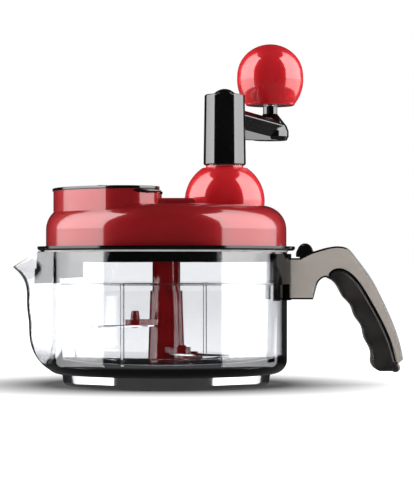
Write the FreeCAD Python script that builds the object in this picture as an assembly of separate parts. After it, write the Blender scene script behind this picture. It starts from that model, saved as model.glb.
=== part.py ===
import FreeCAD, Part
import math
import os
from FreeCAD import Vector

# Crank food chopper: a clear bowl with a full-height spout and a side handle,
# a red lid that carries a feed chute and a two-gear drive, a crank on top, and
# a blade column that stands on a pin in the middle of the bowl.
# Millimetres. +Z is up, +X points at the handle and -X at the spout.
# The origin is the middle of the base cap's underside, on the bowl's axis.

# Fits between pieces
running_gap = 0.05
plug_gap = 0.3
passing_gap = 0.5
small_edge = 0.6
overlap = 1.0

# Base cap under the bowl
base_inset = 12.5
base_height = 8.3
base_wall = 3.4
base_floor = 2.6
base_draft = 1.2
base_corner = 3.2

# Bowl
bowl_radius = 90.5
bowl_wall = 2.6
bowl_rim = 98.8
bowl_floor_rise = 6.7
bowl_floor_thickness = 3.5
bowl_foot_wall = 2.6
bowl_outer_corner = 10.0
bowl_inner_corner = 8.0
fill_line_drop = 23.0
fill_line_step = 1.0
baffle_angle = 70.0
baffle_width = 2.2
baffle_depth = 2.4
rail_half_width = 3.5
rail_depth = 2.6
rail_drop = 32.8

# Spout, a full-height beak with walls that run to its nose. Each step is a height above the
# base cap or a depth below the rim, and how far the nose stands out from the bowl's side
spout_half_angle = 26.0
spout_nose_radius = 12.0
spout_lower_steps = ((1.2, -6.5), (4.5, 0.3), (11.2, 6.5), (20.7, 10.9), (39.7, 12.7), (54.7, 14.0))
spout_mouth_steps = ((23.8, 15.0), (11.9, 23.5), (0.0, 34.0))
spout_floor_rise = 2.0
spout_lip_offset = 3.5
spout_lip_angle = 28.2

# Centre pin that the blade column turns on
pin_radius = 3.0
pin_length = 44.0
pin_boss_radius = 7.5
pin_boss_height = 5.0

# Blade column
column_bottom_gap = 1.2
column_foot_radius = 13.75
column_waist_radius = 12.0
column_neck_radius = 10.4
column_waist_rise = 55.0
column_top_gap = 4.0
column_bore_end = 2.0
bush_wall = 2.0
column_bush_length = 40.0
recess_gap = 0.6

# Blades and the arms that hold them
blade_thickness = 1.0
blade_wall_gap = 12.5
blade_root_width = 15.0
blade_tip_width = 5.0
blade_sweep = 16.0
blade_front_bow = 2.4
blade_back_bow = 1.6
blade_tang = 7.0
blade_tang_cover = 1.0
arm_width = 13.0
arm_thickness = 4.2
arm_length = 33.5
post_radius = 3.6
post_height = 6.5
post_draft = 0.9
low_post_height = 1.6
rivet_radius = 1.8
rivet_head_radius = 2.9
rivet_head_draft = 0.7
rivet_head_height = 0.8
lower_blade_rise = 3.0
middle_blade_rise = 9.3
upper_blade_rise = 29.5
lower_blade_heading = 40.0
middle_blade_heading = -64.0
upper_blade_heading = 212.0

# Drive axes and gears
gear_module = 1.25
crank_gear_teeth = 52
pinion_teeth = 18
gear_pressure_angle = 20.0
gear_backlash = 0.25
gear_addendum = 0.95
gear_dedendum = 1.25
crank_gear_width = 9.0
pinion_width = 11.0
gear_web = 3.5
gear_rim = 4.5
gear_hub_radius = 10.0
gear_bottom_gap = 2.2

# Drive spindle that carries the pinion and drives the blade column
spindle_flats = 8.0
spindle_journal_radius = 4.75
spindle_top_radius = 4.0
spindle_drop = 18.0
spindle_top_gap = 1.0

# Black inner lid: flange, skirt and gearbox floor in one moulding
flange_overhang = 5.9
flange_thickness = 3.0
flange_gap = 1.2
flange_edge = 1.2
skirt_gap = 5.9
skirt_wall = 2.5
skirt_depth = 8.5
plate_thickness = 3.0
locating_rib_height = 5.0
locating_rib_wall = 2.4
baffle_tab_half_angle = 34.6
baffle_tab_depth = 12.0
baffle_tab_corner = 3.5
spout_gate_width = 16.0
spout_gate_depth = 24.5
spout_gate_offset = 3.3
spout_gate_wall = 3.0
spout_gate_roof = 2.0
bayonet_angles = (236.5, 356.5, 116.5)
bayonet_half_angle = 8.5
bayonet_depth = 2.2
bayonet_height = 4.6
lower_boss_height = 5.0
lower_boss_wall = 2.4
bush_flange = 1.0
bush_flange_width = 1.2

# Lid seal
seal_width = 4.0
seal_groove = 1.0

# Red lid shell
lid_inset = 0.5
lid_wall = 2.5
lid_height = 30.5
lid_shoulder = 18.0
pad_radius = 20.0
pad_height = 5.5
pad_edge = 3.0

# Feed chute: a kidney on an arc about the lid's axis
chute_margin = 5.5
chute_half_width = 25.0
chute_half_angle = 60.2
chute_wall = 2.5
chute_rise = 10.5
chute_outlet_step = 3.2

# Chute cover, its thumb tab and its hinge
cover_thickness = 2.2
cover_overhang = 0.7
cover_rim_depth = 2.5
cover_rim_gap = 0.9
cover_rim_wall = 1.8
cover_edge = 0.9
tab_angle = -52.0
tab_width = 22.0
tab_reach = 6.0
tab_depth = 8.0
tab_drop = 5.0
tab_rise = 1.2
hinge_swing = 1.2
hinge_offset = 4.0
hinge_rise = 4.4
hinge_pin_radius = 1.5
knuckle_radius = 3.6
knuckle_length = 13.5
hinge_lug_thickness = 3.5
hinge_side_gap = 0.35

# Crank housing: a red dome over the crank's bearing
dome_radius = 30.0
dome_centre_height = 3.5
dome_height = 28.5
dome_wall = 2.6
dome_collar_radius = 14.0
dome_collar_height = 1.4
dome_bearing_length = 12.0
dome_bearing_wall = 3.0
dome_edge = 1.8
crank_bush_wall = 2.5

# Crank shaft
shaft_radius = 5.2
shaft_flats = 9.0
shaft_foot_radius = 4.0
shaft_foot_gap = 0.3
shaft_round_lead = 1.0

# Crank column and arm, one black moulding
hub_gap = 0.5
hub_bottom_radius = 15.9
hub_top_radius = 15.1
hub_height = 53.1
hub_edge = 1.4
hub_foot_edge = 1.0
hub_socket = 36.0
hub_pocket_radius = 7.4
hub_web = 3.0
arm_azimuth = 60.0
crank_length = 72.0
crank_arm_bottom = 20.2
crank_arm_root_height = 21.8
crank_arm_end_height = 15.5
crank_arm_rise = 2.3
crank_arm_half_width = 12.9
crank_arm_end_radius = 14.4
crank_arm_wall = 2.6
crank_arm_roof = 5.0
arm_crown_half_width = 7.7
arm_ridge_drop = 4.4
arm_ridge_band = 0.7
arm_hull_half_width = 7.5
arm_hull_depth = 10.0
arm_keel_half_width = 4.9
arm_nose_draw = 1.4
arm_nose_drop = 8.4

# Crank screw, cap and washers
screw_shank_radius = 2.5
screw_head_radius = 4.6
screw_head_height = 3.0
screw_length = 14.0
socket_key_radius = 1.6
cap_radius = 8.6
cap_height = 4.3
cap_stem_length = 7.0
cap_stem_wall = 2.0
cap_stem_gap = 0.1
washer_radius = 12.8
washer_thickness = 0.4

# Crank knob, its axle and bush
neck_radius = 5.6
neck_root_radius = 9.5
neck_cone_height = 5.0
neck_height = 6.0
knob_gap = 0.5
knob_height = 47.8
knob_radius = 25.7
knob_foot_radius = 19.2
knob_belly_height = 23.3
knob_swell_height = 10.5
knob_swell = 2.2
knob_edge = 1.6
knob_bush_length = 30.0
knob_bush_wall = 2.0
axle_radius = 3.5
axle_head_radius = 7.0
axle_head_height = 2.4
axle_length = 36.0

# Bracket that holds the handle on the bowl
bracket_thickness = 3.2
bracket_half_angle = 29.5
bracket_top_gap = 1.3
bracket_height = 22.5
bracket_leg_length = 12.0
bracket_leg_angle = 3.4
bracket_centre_half_angle = 12.0

# Handle, in the plane through the bowl's axis. A point is a distance out from the bowl's
# side and a height from its rim, which is negative below the rim
handle_half_width = 12.7
grip_half_width = 12.2
handle_edge = 2.2
grip_edge = 2.6
handle_block_bottom = -35.3
handle_block_reach = 18.9
handle_top_step = (9.3, -4.4)
handle_outer_curve = (
    (18.3, 0.1), (29.0, 3.2), (39.3, 4.3), (44.9, 2.7), (49.7, -2.4),
    (60.3, -16.6), (72.1, -38.2), (81.1, -59.3), (86.2, -79.8),
)
handle_arch_curve = ((21.2, -27.0), (24.2, -20.8), (27.7, -18.8), (31.0, -19.6))
grip_curve = (
    (31.0, -19.6), (32.9, -15.2), (37.9, -13.2), (44.1, -15.0), (49.9, -19.9),
    (60.9, -36.4), (71.0, -55.1), (77.5, -71.3), (80.0, -80.7),
)
grip_tail = (82.4, -83.0)
grip_tip_middle = (84.1, -86.2)
grip_tip_end = (78.3, -88.8)
grip_tip_inner_start = (69.1, -88.8)
grip_tip_inner_middle = (64.5, -85.8)
grip_inner_end = (62.7, -80.0)
grip_inner_middle = (50.9, -48.2)
finger_count = 4
finger_depth = 1.3

# Handle screws
handle_screw_spacing = 6.5
handle_screw_height = -28.8
handle_screw_radius = 1.9
handle_screw_head_radius = 3.4
handle_screw_head_height = 2.4
handle_screw_recess = 4.0

# Latch button, its spring and guide
latch_offset = 7.2
latch_half_length = 6.6
latch_half_width = 8.0
latch_drop = 3.6
latch_rise = 2.0
latch_flat = 3.2
latch_flange_gap = 0.5
latch_travel = 3.0
latch_stem_radius = 4.0
latch_stem_length = 9.0
latch_spring_radius = 2.6
latch_spring_wire = 0.7
latch_spring_turns = 6
latch_spring_length = 10.0
latch_bore_gap = 0.35
latch_pocket_gap = 0.8

# Screws that hold the inner lid under the lid shell
lid_screw_inset = 8.5
lid_screw_angles = (37.5, 82.0, -37.5, -82.0)
lid_screw_radius = 1.5
lid_screw_head_radius = 3.0
lid_screw_head_height = 2.0
lid_screw_length = 14.0
lid_boss_radius = 4.4

# Heights and axes that follow from the sizes above
crank_x = gear_module * (crank_gear_teeth + pinion_teeth) / 2
base_radius = bowl_radius - base_inset
bowl_floor = base_height + bowl_floor_rise
bowl_inner_radius = bowl_radius - bowl_wall
lower_inner_radius = bowl_inner_radius - fill_line_step
fill_line_height = bowl_rim - fill_line_drop
rail_bottom = bowl_rim - rail_drop
blade_reach = lower_inner_radius - baffle_depth - blade_wall_gap
blade_places = (
    ("lower_blade", bowl_floor + lower_blade_rise, lower_blade_heading),
    ("middle_blade", bowl_floor + middle_blade_rise, middle_blade_heading),
    ("upper_blade", bowl_floor + upper_blade_rise, upper_blade_heading),
)
skirt_radius = bowl_inner_radius - skirt_gap
inner_skirt = skirt_radius - skirt_wall
flange_radius = bowl_radius + flange_overhang
flange_bottom = bowl_rim + flange_gap
flange_top = flange_bottom + flange_thickness
plate_top = flange_bottom
plate_bottom = plate_top - plate_thickness
skirt_bottom = flange_bottom - skirt_depth
lid_bottom = flange_top
lid_radius = bowl_radius - lid_inset
lid_top = lid_bottom + lid_height
lid_ceiling = lid_top - lid_wall
chute_top = lid_top + chute_rise
chute_path_radius = lid_radius - chute_margin - chute_half_width
hinge_azimuth = 180 - chute_half_angle + hinge_swing
hinge_reach = chute_path_radius + chute_half_width + hinge_offset
hinge_z = chute_top + hinge_rise
boss_top = plate_top + lower_boss_height
gear_bottom = boss_top + gear_bottom_gap
pinion_bottom = gear_bottom - (pinion_width - crank_gear_width) / 2
pinion_top = pinion_bottom + pinion_width
pad_top = lid_top + pad_height
dome_bottom = lid_top
dome_top = lid_top + dome_height
collar_top = dome_top + dome_collar_height
hub_bottom = collar_top + hub_gap
hub_top = hub_bottom + hub_height
column_bottom = bowl_floor + column_bottom_gap
column_waist_height = bowl_floor + column_waist_rise
column_top = plate_bottom - column_top_gap
pin_boss_top = bowl_floor + pin_boss_height
pin_top = pin_boss_top + pin_length
column_bore_radius = pin_radius + running_gap + bush_wall
spindle_bottom = plate_bottom - spindle_drop
crank_arm_base = hub_bottom + crank_arm_bottom
crank_arm_top = crank_arm_base + crank_arm_root_height
arm_end_bottom = crank_arm_base + crank_arm_rise
arm_end_top = arm_end_bottom + crank_arm_end_height
neck_cone_top = arm_end_top + neck_cone_height
neck_top = neck_cone_top + neck_height
knob_bottom = neck_top + knob_gap
knob_x = crank_x + crank_length * math.cos(math.radians(arm_azimuth))
knob_y = crank_length * math.sin(math.radians(arm_azimuth))
latch_x = flange_radius + latch_offset
latch_bottom = flange_bottom - latch_drop
latch_top = flange_top + latch_rise
latch_bore_bottom = latch_bottom - latch_stem_length - latch_spring_length
UP = Vector(0, 0, 1)


def cylinder(radius, low, high, x=0.0, y=0.0):
    """Upright cylinder between two heights."""
    return Part.makeCylinder(radius, high - low, Vector(x, y, low))


def tube(outer, inner, low, high, x=0.0, y=0.0):
    """Upright tube between two heights."""
    return cylinder(outer, low, high, x, y).cut(cylinder(inner, low, high, x, y))


def cone(low_radius, high_radius, low, high, x=0.0, y=0.0):
    """Upright cone between two heights."""
    return Part.makeCone(low_radius, high_radius, high - low, Vector(x, y, low))


def block(x_low, x_high, y_low, y_high, low, high):
    """Box between two corners."""
    return Part.makeBox(x_high - x_low, y_high - y_low, high - low, Vector(x_low, y_low, low))


def hexagon(flats, low, high, x=0.0, y=0.0):
    """Upright hexagonal prism of a given width across its flats."""
    reach = flats / math.sqrt(3)
    corners = []
    for side in range(7):
        angle = math.radians(60 * side + 30)
        corners.append(Vector(x + reach * math.cos(angle), y + reach * math.sin(angle), low))
    return Part.Face(Part.makePolygon(corners)).extrude(Vector(0, 0, high - low))


def line(start, end):
    """Straight edge between two points."""
    return Part.LineSegment(start, end).toShape()


def arc(start, middle, end):
    """Arc edge through three points."""
    return Part.Arc(start, middle, end).toShape()


def profile(*steps):
    """Closed face in the XZ plane; a step is a corner, or an arc's middle and end."""
    first = Vector(steps[0][0], 0, steps[0][1])
    here = first
    edges = []
    for step in steps[1:]:
        if len(step) == 2:
            there = Vector(step[0], 0, step[1])
            edges.append(line(here, there))
        else:
            there = Vector(step[2], 0, step[3])
            edges.append(arc(here, Vector(step[0], 0, step[1]), there))
        here = there
    if here.distanceToPoint(first) > 1e-6:
        edges.append(line(here, first))
    return Part.Face(Part.Wire(edges))


def outward(solid):
    """The same solid with its faces pointing outwards."""
    if solid.Volume < 0:
        solid.reverse()
    return solid


def turned(*steps):
    """Body of revolution about the bowl's axis from an XZ profile."""
    return outward(profile(*steps).revolve(Vector(0, 0, 0), UP, 360))


def corner_middle(centre, radius, angle):
    """Point on a circle in the XZ plane, used as an arc's middle."""
    turn = math.radians(angle)
    return centre[0] + radius * math.cos(turn), centre[1] + radius * math.sin(turn)


def fused(shapes):
    """One solid from several that touch."""
    result = shapes[0]
    for shape in shapes[1:]:
        result = result.fuse(shape)
    return result.removeSplitter()


def about_z(shape, angle, x=0.0, y=0.0):
    """Copy turned about an upright axis."""
    copy = shape.copy()
    copy.rotate(Vector(x, y, 0), UP, angle)
    return copy


def moved(shape, x=0.0, y=0.0, z=0.0):
    """Copy moved along the axes."""
    copy = shape.copy()
    copy.translate(Vector(x, y, z))
    return copy


def edges_at(shape, height, tolerance=0.01):
    """Edges that lie whole at one height."""
    chosen = []
    for edge in shape.Edges:
        box = edge.BoundBox
        if abs(box.ZMin - height) < tolerance and abs(box.ZMax - height) < tolerance:
            chosen.append(edge)
    return chosen


def side_edges(shape, half_width, shortest=0.0, tolerance=0.01):
    """Edges on the two flat sides of a piece centred on the XZ plane, without the shortest."""
    chosen = []
    for edge in shape.Edges:
        box = edge.BoundBox
        flat = abs(box.YMax - box.YMin) < tolerance
        on_side = flat and abs(abs(box.YMin) - half_width) < tolerance
        if on_side and edge.Length > shortest:
            chosen.append(edge)
    return chosen


def wedge(start_angle, end_angle, reach, low, high):
    """Upright sector between two azimuths, for arcs of a ring."""
    middle = math.radians((start_angle + end_angle) / 2)
    first = math.radians(start_angle)
    last = math.radians(end_angle)
    centre = Vector(0, 0, low)
    start = Vector(reach * math.cos(first), reach * math.sin(first), low)
    via = Vector(reach * math.cos(middle), reach * math.sin(middle), low)
    end = Vector(reach * math.cos(last), reach * math.sin(last), low)
    wire = Part.Wire([line(centre, start), arc(start, via, end), line(end, centre)])
    return Part.Face(wire).extrude(Vector(0, 0, high - low))


def kidney(half_width, low, high):
    """Solid kidney about the chute's arc: two arcs about the axis and two round ends."""
    outer = chute_path_radius + half_width
    inner = chute_path_radius - half_width
    first = math.radians(180 - chute_half_angle)
    last = math.radians(180 + chute_half_angle)

    def at(radius, angle):
        return Vector(radius * math.cos(angle), radius * math.sin(angle), low)

    def cap(angle, side):
        away = angle + side * math.pi / 2
        centre = at(chute_path_radius, angle)
        return centre + Vector(half_width * math.cos(away), half_width * math.sin(away), 0)

    edges = [
        arc(at(outer, first), at(outer, math.pi), at(outer, last)),
        arc(at(outer, last), cap(last, 1), at(inner, last)),
        arc(at(inner, last), at(inner, math.pi), at(inner, first)),
        arc(at(inner, first), cap(first, -1), at(outer, first)),
    ]
    return Part.Face(Part.Wire(edges)).extrude(Vector(0, 0, high - low))


def bowl_outer_radius(height):
    """Radius of the bowl's outside at a height, round its bottom corner."""
    centre_height = base_height + bowl_outer_corner
    if height >= centre_height:
        return bowl_radius
    rise = centre_height - height
    return bowl_radius - bowl_outer_corner + math.sqrt(bowl_outer_corner ** 2 - rise ** 2)


def tangent_point(centre, radius, point):
    """Point where a line from a given point touches a circle, on its left."""
    away = point - centre
    spread = math.acos(radius / away.Length)
    heading = math.atan2(away.y, away.x) + spread
    return centre + Vector(radius * math.cos(heading), radius * math.sin(heading), 0)


def spout_section(height, reach, inset):
    """Plan outline of the spout at one height, drawn in by a wall for its inside."""
    join_radius = bowl_outer_radius(height) - small_edge
    half = math.radians(spout_half_angle)
    nose = Vector(-(reach - spout_nose_radius), 0, height)
    nose_radius = spout_nose_radius - inset
    join_x = -join_radius * math.cos(half)
    join_y = join_radius * math.sin(half)
    upper_join = Vector(join_x, join_y, height)
    upper = tangent_point(nose, spout_nose_radius, upper_join)
    inward = (upper - nose).normalize() * inset
    upper = upper - inward
    upper_join = upper_join - inward
    back_x = join_x + 3 * inset
    share = (back_x - upper.x) / (upper_join.x - upper.x)
    upper_back = upper + (upper_join - upper) * share
    lower = Vector(upper.x, -upper.y, height)
    lower_back = Vector(upper_back.x, -upper_back.y, height)
    tip = nose - Vector(nose_radius, 0, 0)
    edges = [
        line(upper_back, upper),
        arc(upper, tip, lower),
        line(lower, lower_back),
        line(lower_back, upper_back),
    ]
    return Part.Wire(edges)


def spout_body(inset, low, high):
    """Spout as a loft through its plan outlines, cut off below and above."""
    wires = []
    for rise, reach in spout_lower_steps:
        wires.append(spout_section(base_height + rise, bowl_radius + reach, inset))
    for drop, reach in spout_mouth_steps:
        wires.append(spout_section(bowl_rim - drop, bowl_radius + reach, inset))
    body = outward(Part.makeLoft(wires, True, False))
    far = 2 * bowl_radius
    return body.common(block(-far, 0, -far, far, low, high))


def make_base_cap():
    """Non-slip cap that the bowl's foot stands in."""
    outside = cone(base_radius - base_draft, base_radius, 0, base_height)
    outside = outside.makeFillet(base_corner, edges_at(outside, 0))
    inside = cylinder(base_radius - base_wall, base_floor, base_height)
    return outside.cut(inside)


def make_bowl():
    """Clear bowl with its foot, spout, fill line step, baffles, pin boss and handle rail."""
    underside = bowl_floor - bowl_floor_thickness
    foot_radius = base_radius - base_wall
    corner = (bowl_radius - bowl_outer_corner, base_height + bowl_outer_corner)
    outside = turned(
        (0, underside),
        (foot_radius - bowl_foot_wall, underside),
        (foot_radius - bowl_foot_wall, base_floor),
        (foot_radius, base_floor),
        (foot_radius, base_height),
        (corner[0], base_height),
        (*corner_middle(corner, bowl_outer_corner, -45), bowl_radius, corner[1]),
        (bowl_radius, bowl_rim),
        (0, bowl_rim),
    )
    inner = (lower_inner_radius - bowl_inner_corner, bowl_floor + bowl_inner_corner)
    inside = turned(
        (0, bowl_floor),
        (inner[0], bowl_floor),
        (*corner_middle(inner, bowl_inner_corner, -45), lower_inner_radius, inner[1]),
        (lower_inner_radius, fill_line_height),
        (bowl_inner_radius, fill_line_height),
        (bowl_inner_radius, bowl_rim + overlap),
        (0, bowl_rim + overlap),
    )
    outer_spout = spout_body(0.0, 0.0, bowl_rim)
    inner_spout = spout_body(bowl_wall, bowl_floor + spout_floor_rise, bowl_rim)
    bowl = outside.fuse(outer_spout).cut(inside.fuse(inner_spout))
    bowl = bowl.cut(make_lip_cutter())
    features = [cylinder(pin_boss_radius, bowl_floor - overlap, pin_boss_top)]
    for angle in (baffle_angle, baffle_angle + 180):
        rib = block(
            lower_inner_radius - baffle_depth,
            lower_inner_radius + bowl_wall / 2,
            -baffle_width / 2,
            baffle_width / 2,
            bowl_floor - overlap,
            fill_line_height,
        )
        features.append(about_z(rib, angle))
    rail = block(
        bowl_radius - overlap,
        bowl_radius + rail_depth,
        -rail_half_width,
        rail_half_width,
        rail_bottom,
        bowl_rim - bracket_top_gap,
    )
    features.append(rail)
    bowl = fused([bowl] + features)
    pin_hole = cylinder(pin_radius, bowl_floor, pin_boss_top)
    return bowl.cut(pin_hole)


def make_lip_cutter():
    """Wedge above the spout's lip, which falls from the bowl's rim to the beak."""
    near = bowl_radius + spout_lip_offset
    far = near + bowl_radius
    drop = bowl_radius * math.tan(math.radians(spout_lip_angle))
    corners = [
        Vector(-near, -bowl_radius, bowl_rim),
        Vector(-near, -bowl_radius, bowl_rim + overlap),
        Vector(-far, -bowl_radius, bowl_rim + overlap),
        Vector(-far, -bowl_radius, bowl_rim - drop),
        Vector(-near, -bowl_radius, bowl_rim),
    ]
    return Part.Face(Part.makePolygon(corners)).extrude(Vector(0, 2 * bowl_radius, 0))


def make_centre_pin():
    """Steel pin set in the bowl's boss."""
    pin = cylinder(pin_radius, bowl_floor, pin_top)
    return pin.makeFillet(small_edge * 2, edges_at(pin, pin_top))


def blade_socket_bottom():
    """Height of the floor of the column's drive socket."""
    return spindle_bottom - passing_gap * 2


def make_blade_column():
    """Red column with a drive socket on top, a bore for the pin and three blade arms."""
    body = turned(
        (0, column_bottom),
        (column_foot_radius, column_bottom),
        (column_waist_radius, column_waist_height),
        (column_neck_radius, column_waist_height),
        (column_neck_radius, column_top),
        (0, column_top),
    )
    arms = [body]
    for name, level, angle in blade_places:
        arms.append(about_z(make_blade_arm(level, name == "upper_blade"), angle))
    body = fused(arms)
    bore = cylinder(column_bore_radius, column_bottom, pin_top + column_bore_end)
    recess = cylinder(pin_boss_radius + recess_gap, column_bottom, pin_boss_top)
    socket = hexagon(spindle_flats + 2 * plug_gap, blade_socket_bottom(), column_top)
    body = body.cut(bore).cut(recess).cut(socket)
    for name, level, angle in blade_places:
        body = body.cut(make_blade(level, angle))
        body = body.cut(make_blade_rivet(level, angle))
    return body


def make_blade_arm(level, tall_post):
    """Arm above a blade that points at +X, with a post over the rivet."""
    high = level + arm_thickness
    end_x = arm_length - arm_width / 2
    arm = block(column_bore_radius + bush_wall, end_x, -arm_width / 2, arm_width / 2, level, high)
    arm = arm.fuse(cylinder(arm_width / 2, level, high, end_x))
    height = post_height if tall_post else low_post_height
    post = cone(post_radius, post_radius - post_draft, high, high + height, end_x)
    return arm.fuse(post)


def make_blade(level, angle):
    """Thin curved blade under its arm, with a tang held in the column's wall."""
    low = level - blade_thickness
    root = arm_length - arm_width
    half = blade_root_width / 2
    front = [
        Vector(root, -half, low),
        Vector((root + blade_reach) / 2, -half - blade_front_bow, low),
        Vector(blade_reach, blade_sweep, low),
    ]
    back = [
        Vector(blade_reach - blade_tip_width / 2, blade_sweep + blade_tip_width, low),
        Vector((root + blade_reach) / 2, half + blade_back_bow, low),
        Vector(root, half, low),
    ]
    edges = [
        arc(*front),
        line(front[2], back[0]),
        arc(*back),
        line(back[2], front[0]),
    ]
    plate = Part.Face(Part.Wire(edges)).extrude(Vector(0, 0, blade_thickness))
    tang_start = pin_boss_radius + recess_gap + blade_tang_cover
    tang = block(tang_start, root + overlap, -blade_tang / 2, blade_tang / 2, low, level)
    return about_z(plate.fuse(tang).removeSplitter(), angle)


def make_blade_rivet(level, angle):
    """Rivet through a blade into its arm, with a low head below."""
    x = arm_length - arm_width / 2
    under = level - blade_thickness
    shank = cylinder(rivet_radius, under, level + arm_thickness / 2, x)
    head = cone(rivet_head_radius - rivet_head_draft, rivet_head_radius, under - rivet_head_height, under, x)
    return about_z(shank.fuse(head).removeSplitter(), angle)


def make_blades():
    """Each blade with its rivet's hole."""
    blades = {}
    for name, level, angle in blade_places:
        blades[name] = make_blade(level, angle).cut(make_blade_rivet(level, angle))
    return blades


def make_blade_rivets():
    """The three rivets as a group."""
    rivets = []
    for name, level, angle in blade_places:
        rivets.append(make_blade_rivet(level, angle))
    return Part.makeCompound(rivets)


def make_column_bush():
    """Sleeve inside the column that turns on the pin."""
    return tube(column_bore_radius, pin_radius + running_gap, pin_boss_top, pin_boss_top + column_bush_length)


def involute_point(base, radius, sign, offset):
    """Point of a tooth's flank at a radius, about the middle of the tooth."""
    roll = math.sqrt(max((radius / base) ** 2 - 1, 0.0))
    angle = offset - sign * (roll - math.atan(roll))
    return Vector(radius * math.cos(angle), radius * math.sin(angle), 0)


def gear_blank(teeth, width):
    """Spur gear with involute flanks; its first tooth points at +X."""
    pressure = math.radians(gear_pressure_angle)
    pitch_radius = gear_module * teeth / 2
    base = pitch_radius * math.cos(pressure)
    tip = pitch_radius + gear_addendum * gear_module
    root = pitch_radius - gear_dedendum * gear_module
    half_tooth = (math.pi * gear_module - gear_backlash) / (4 * pitch_radius)
    at_base = half_tooth + math.tan(pressure) - pressure
    start = max(root, base)
    steps = 6
    step_angle = 2 * math.pi / teeth

    def flank(sign):
        points = []
        for step in range(steps + 1):
            radius = start + (tip - start) * step / steps
            points.append(involute_point(base, radius, sign, sign * at_base))
        return points

    def turn(point, angle):
        return Vector(
            point.x * math.cos(angle) - point.y * math.sin(angle),
            point.x * math.sin(angle) + point.y * math.cos(angle),
            0,
        )

    rising = flank(-1)
    falling = list(reversed(flank(1)))
    edges = []
    for tooth in range(teeth):
        angle = tooth * step_angle
        up = [turn(point, angle) for point in rising]
        down = [turn(point, angle) for point in falling]
        foot_in = up[0].normalize() * root
        up = [turn(point, angle) for point in rising]
        foot_out = down[-1].normalize() * root
        down = [turn(point, angle) for point in falling]
        next_foot = turn(rising[0], angle + step_angle).normalize() * root
        if start > root:
            edges.append(line(foot_in, up[0]))
        climb = Part.BSplineCurve()
        climb.interpolate(up)
        edges.append(climb.toShape())
        crown = Vector(tip * math.cos(angle), tip * math.sin(angle), 0)
        edges.append(arc(up[-1], crown, down[0]))
        descent = Part.BSplineCurve()
        descent.interpolate(down)
        edges.append(descent.toShape())
        if start > root:
            edges.append(line(down[-1], foot_out))
        valley_angle = angle + step_angle / 2
        valley = Vector(root * math.cos(valley_angle), root * math.sin(valley_angle), 0)
        edges.append(arc(foot_out, valley, next_foot))
    outline = Part.Face(Part.Wire(edges))
    return outline.extrude(Vector(0, 0, width))


def make_crank_gear():
    """Large nylon gear with a thin web, on the crank shaft's flats."""
    gear = gear_blank(crank_gear_teeth, crank_gear_width)
    root = gear_module * (crank_gear_teeth / 2 - gear_dedendum)
    recess = (crank_gear_width - gear_web) / 2
    ring_outer = root - gear_rim
    lower = tube(ring_outer, gear_hub_radius, 0, recess)
    upper = tube(ring_outer, gear_hub_radius, crank_gear_width - recess, crank_gear_width)
    gear = gear.cut(lower).cut(upper)
    gear = moved(gear, crank_x, 0, gear_bottom)
    hub_low = boss_top + bush_flange + running_gap
    hub = cylinder(gear_hub_radius, hub_low, gear_bottom, crank_x)
    gear = gear.fuse(hub).removeSplitter()
    return gear.cut(hexagon(shaft_flats, hub_low, gear_bottom + crank_gear_width, crank_x))


def make_drive_pinion():
    """Small nylon gear on the spindle's flats."""
    gear = gear_blank(pinion_teeth, pinion_width)
    gear = about_z(gear, 180 / pinion_teeth)
    gear = moved(gear, 0, 0, pinion_bottom)
    return gear.cut(hexagon(spindle_flats, pinion_bottom, pinion_top))


def make_drive_spindle():
    """Steel spindle: drive hexagon below, journal, pinion flats and top journal."""
    journal_low = plate_bottom - overlap
    journal_high = boss_top + bush_flange
    drive = hexagon(spindle_flats, spindle_bottom, journal_low)
    journal = cylinder(spindle_journal_radius, journal_low, journal_high)
    seat = hexagon(spindle_flats, journal_high, pinion_top)
    top = cylinder(spindle_top_radius, pinion_top, lid_ceiling - spindle_top_gap)
    return fused([drive, journal, seat, top])


def upper_boss_bottom():
    """Height of the underside of the spindle's upper bearing boss."""
    return pinion_top + passing_gap * 2


def make_spindle_top_bush():
    """Bush for the spindle's top journal."""
    inner = spindle_top_radius + running_gap
    return tube(inner + bush_wall, inner, upper_boss_bottom(), lid_ceiling)


def make_spindle_bush():
    """Flanged bush in the plate for the spindle's journal."""
    inner = spindle_journal_radius + running_gap
    sleeve = tube(inner + bush_wall, inner, plate_bottom, boss_top)
    flange = tube(inner + bush_wall + bush_flange_width, inner, boss_top, boss_top + bush_flange - running_gap)
    return sleeve.fuse(flange).removeSplitter()


def make_crank_foot_bush():
    """Flanged bush in the plate for the foot of the crank shaft."""
    inner = shaft_foot_radius + running_gap
    sleeve = tube(inner + bush_wall, inner, plate_top, boss_top, crank_x)
    flange = tube(inner + bush_wall + bush_flange_width, inner, boss_top, boss_top + bush_flange, crank_x)
    return sleeve.fuse(flange).removeSplitter()


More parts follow.
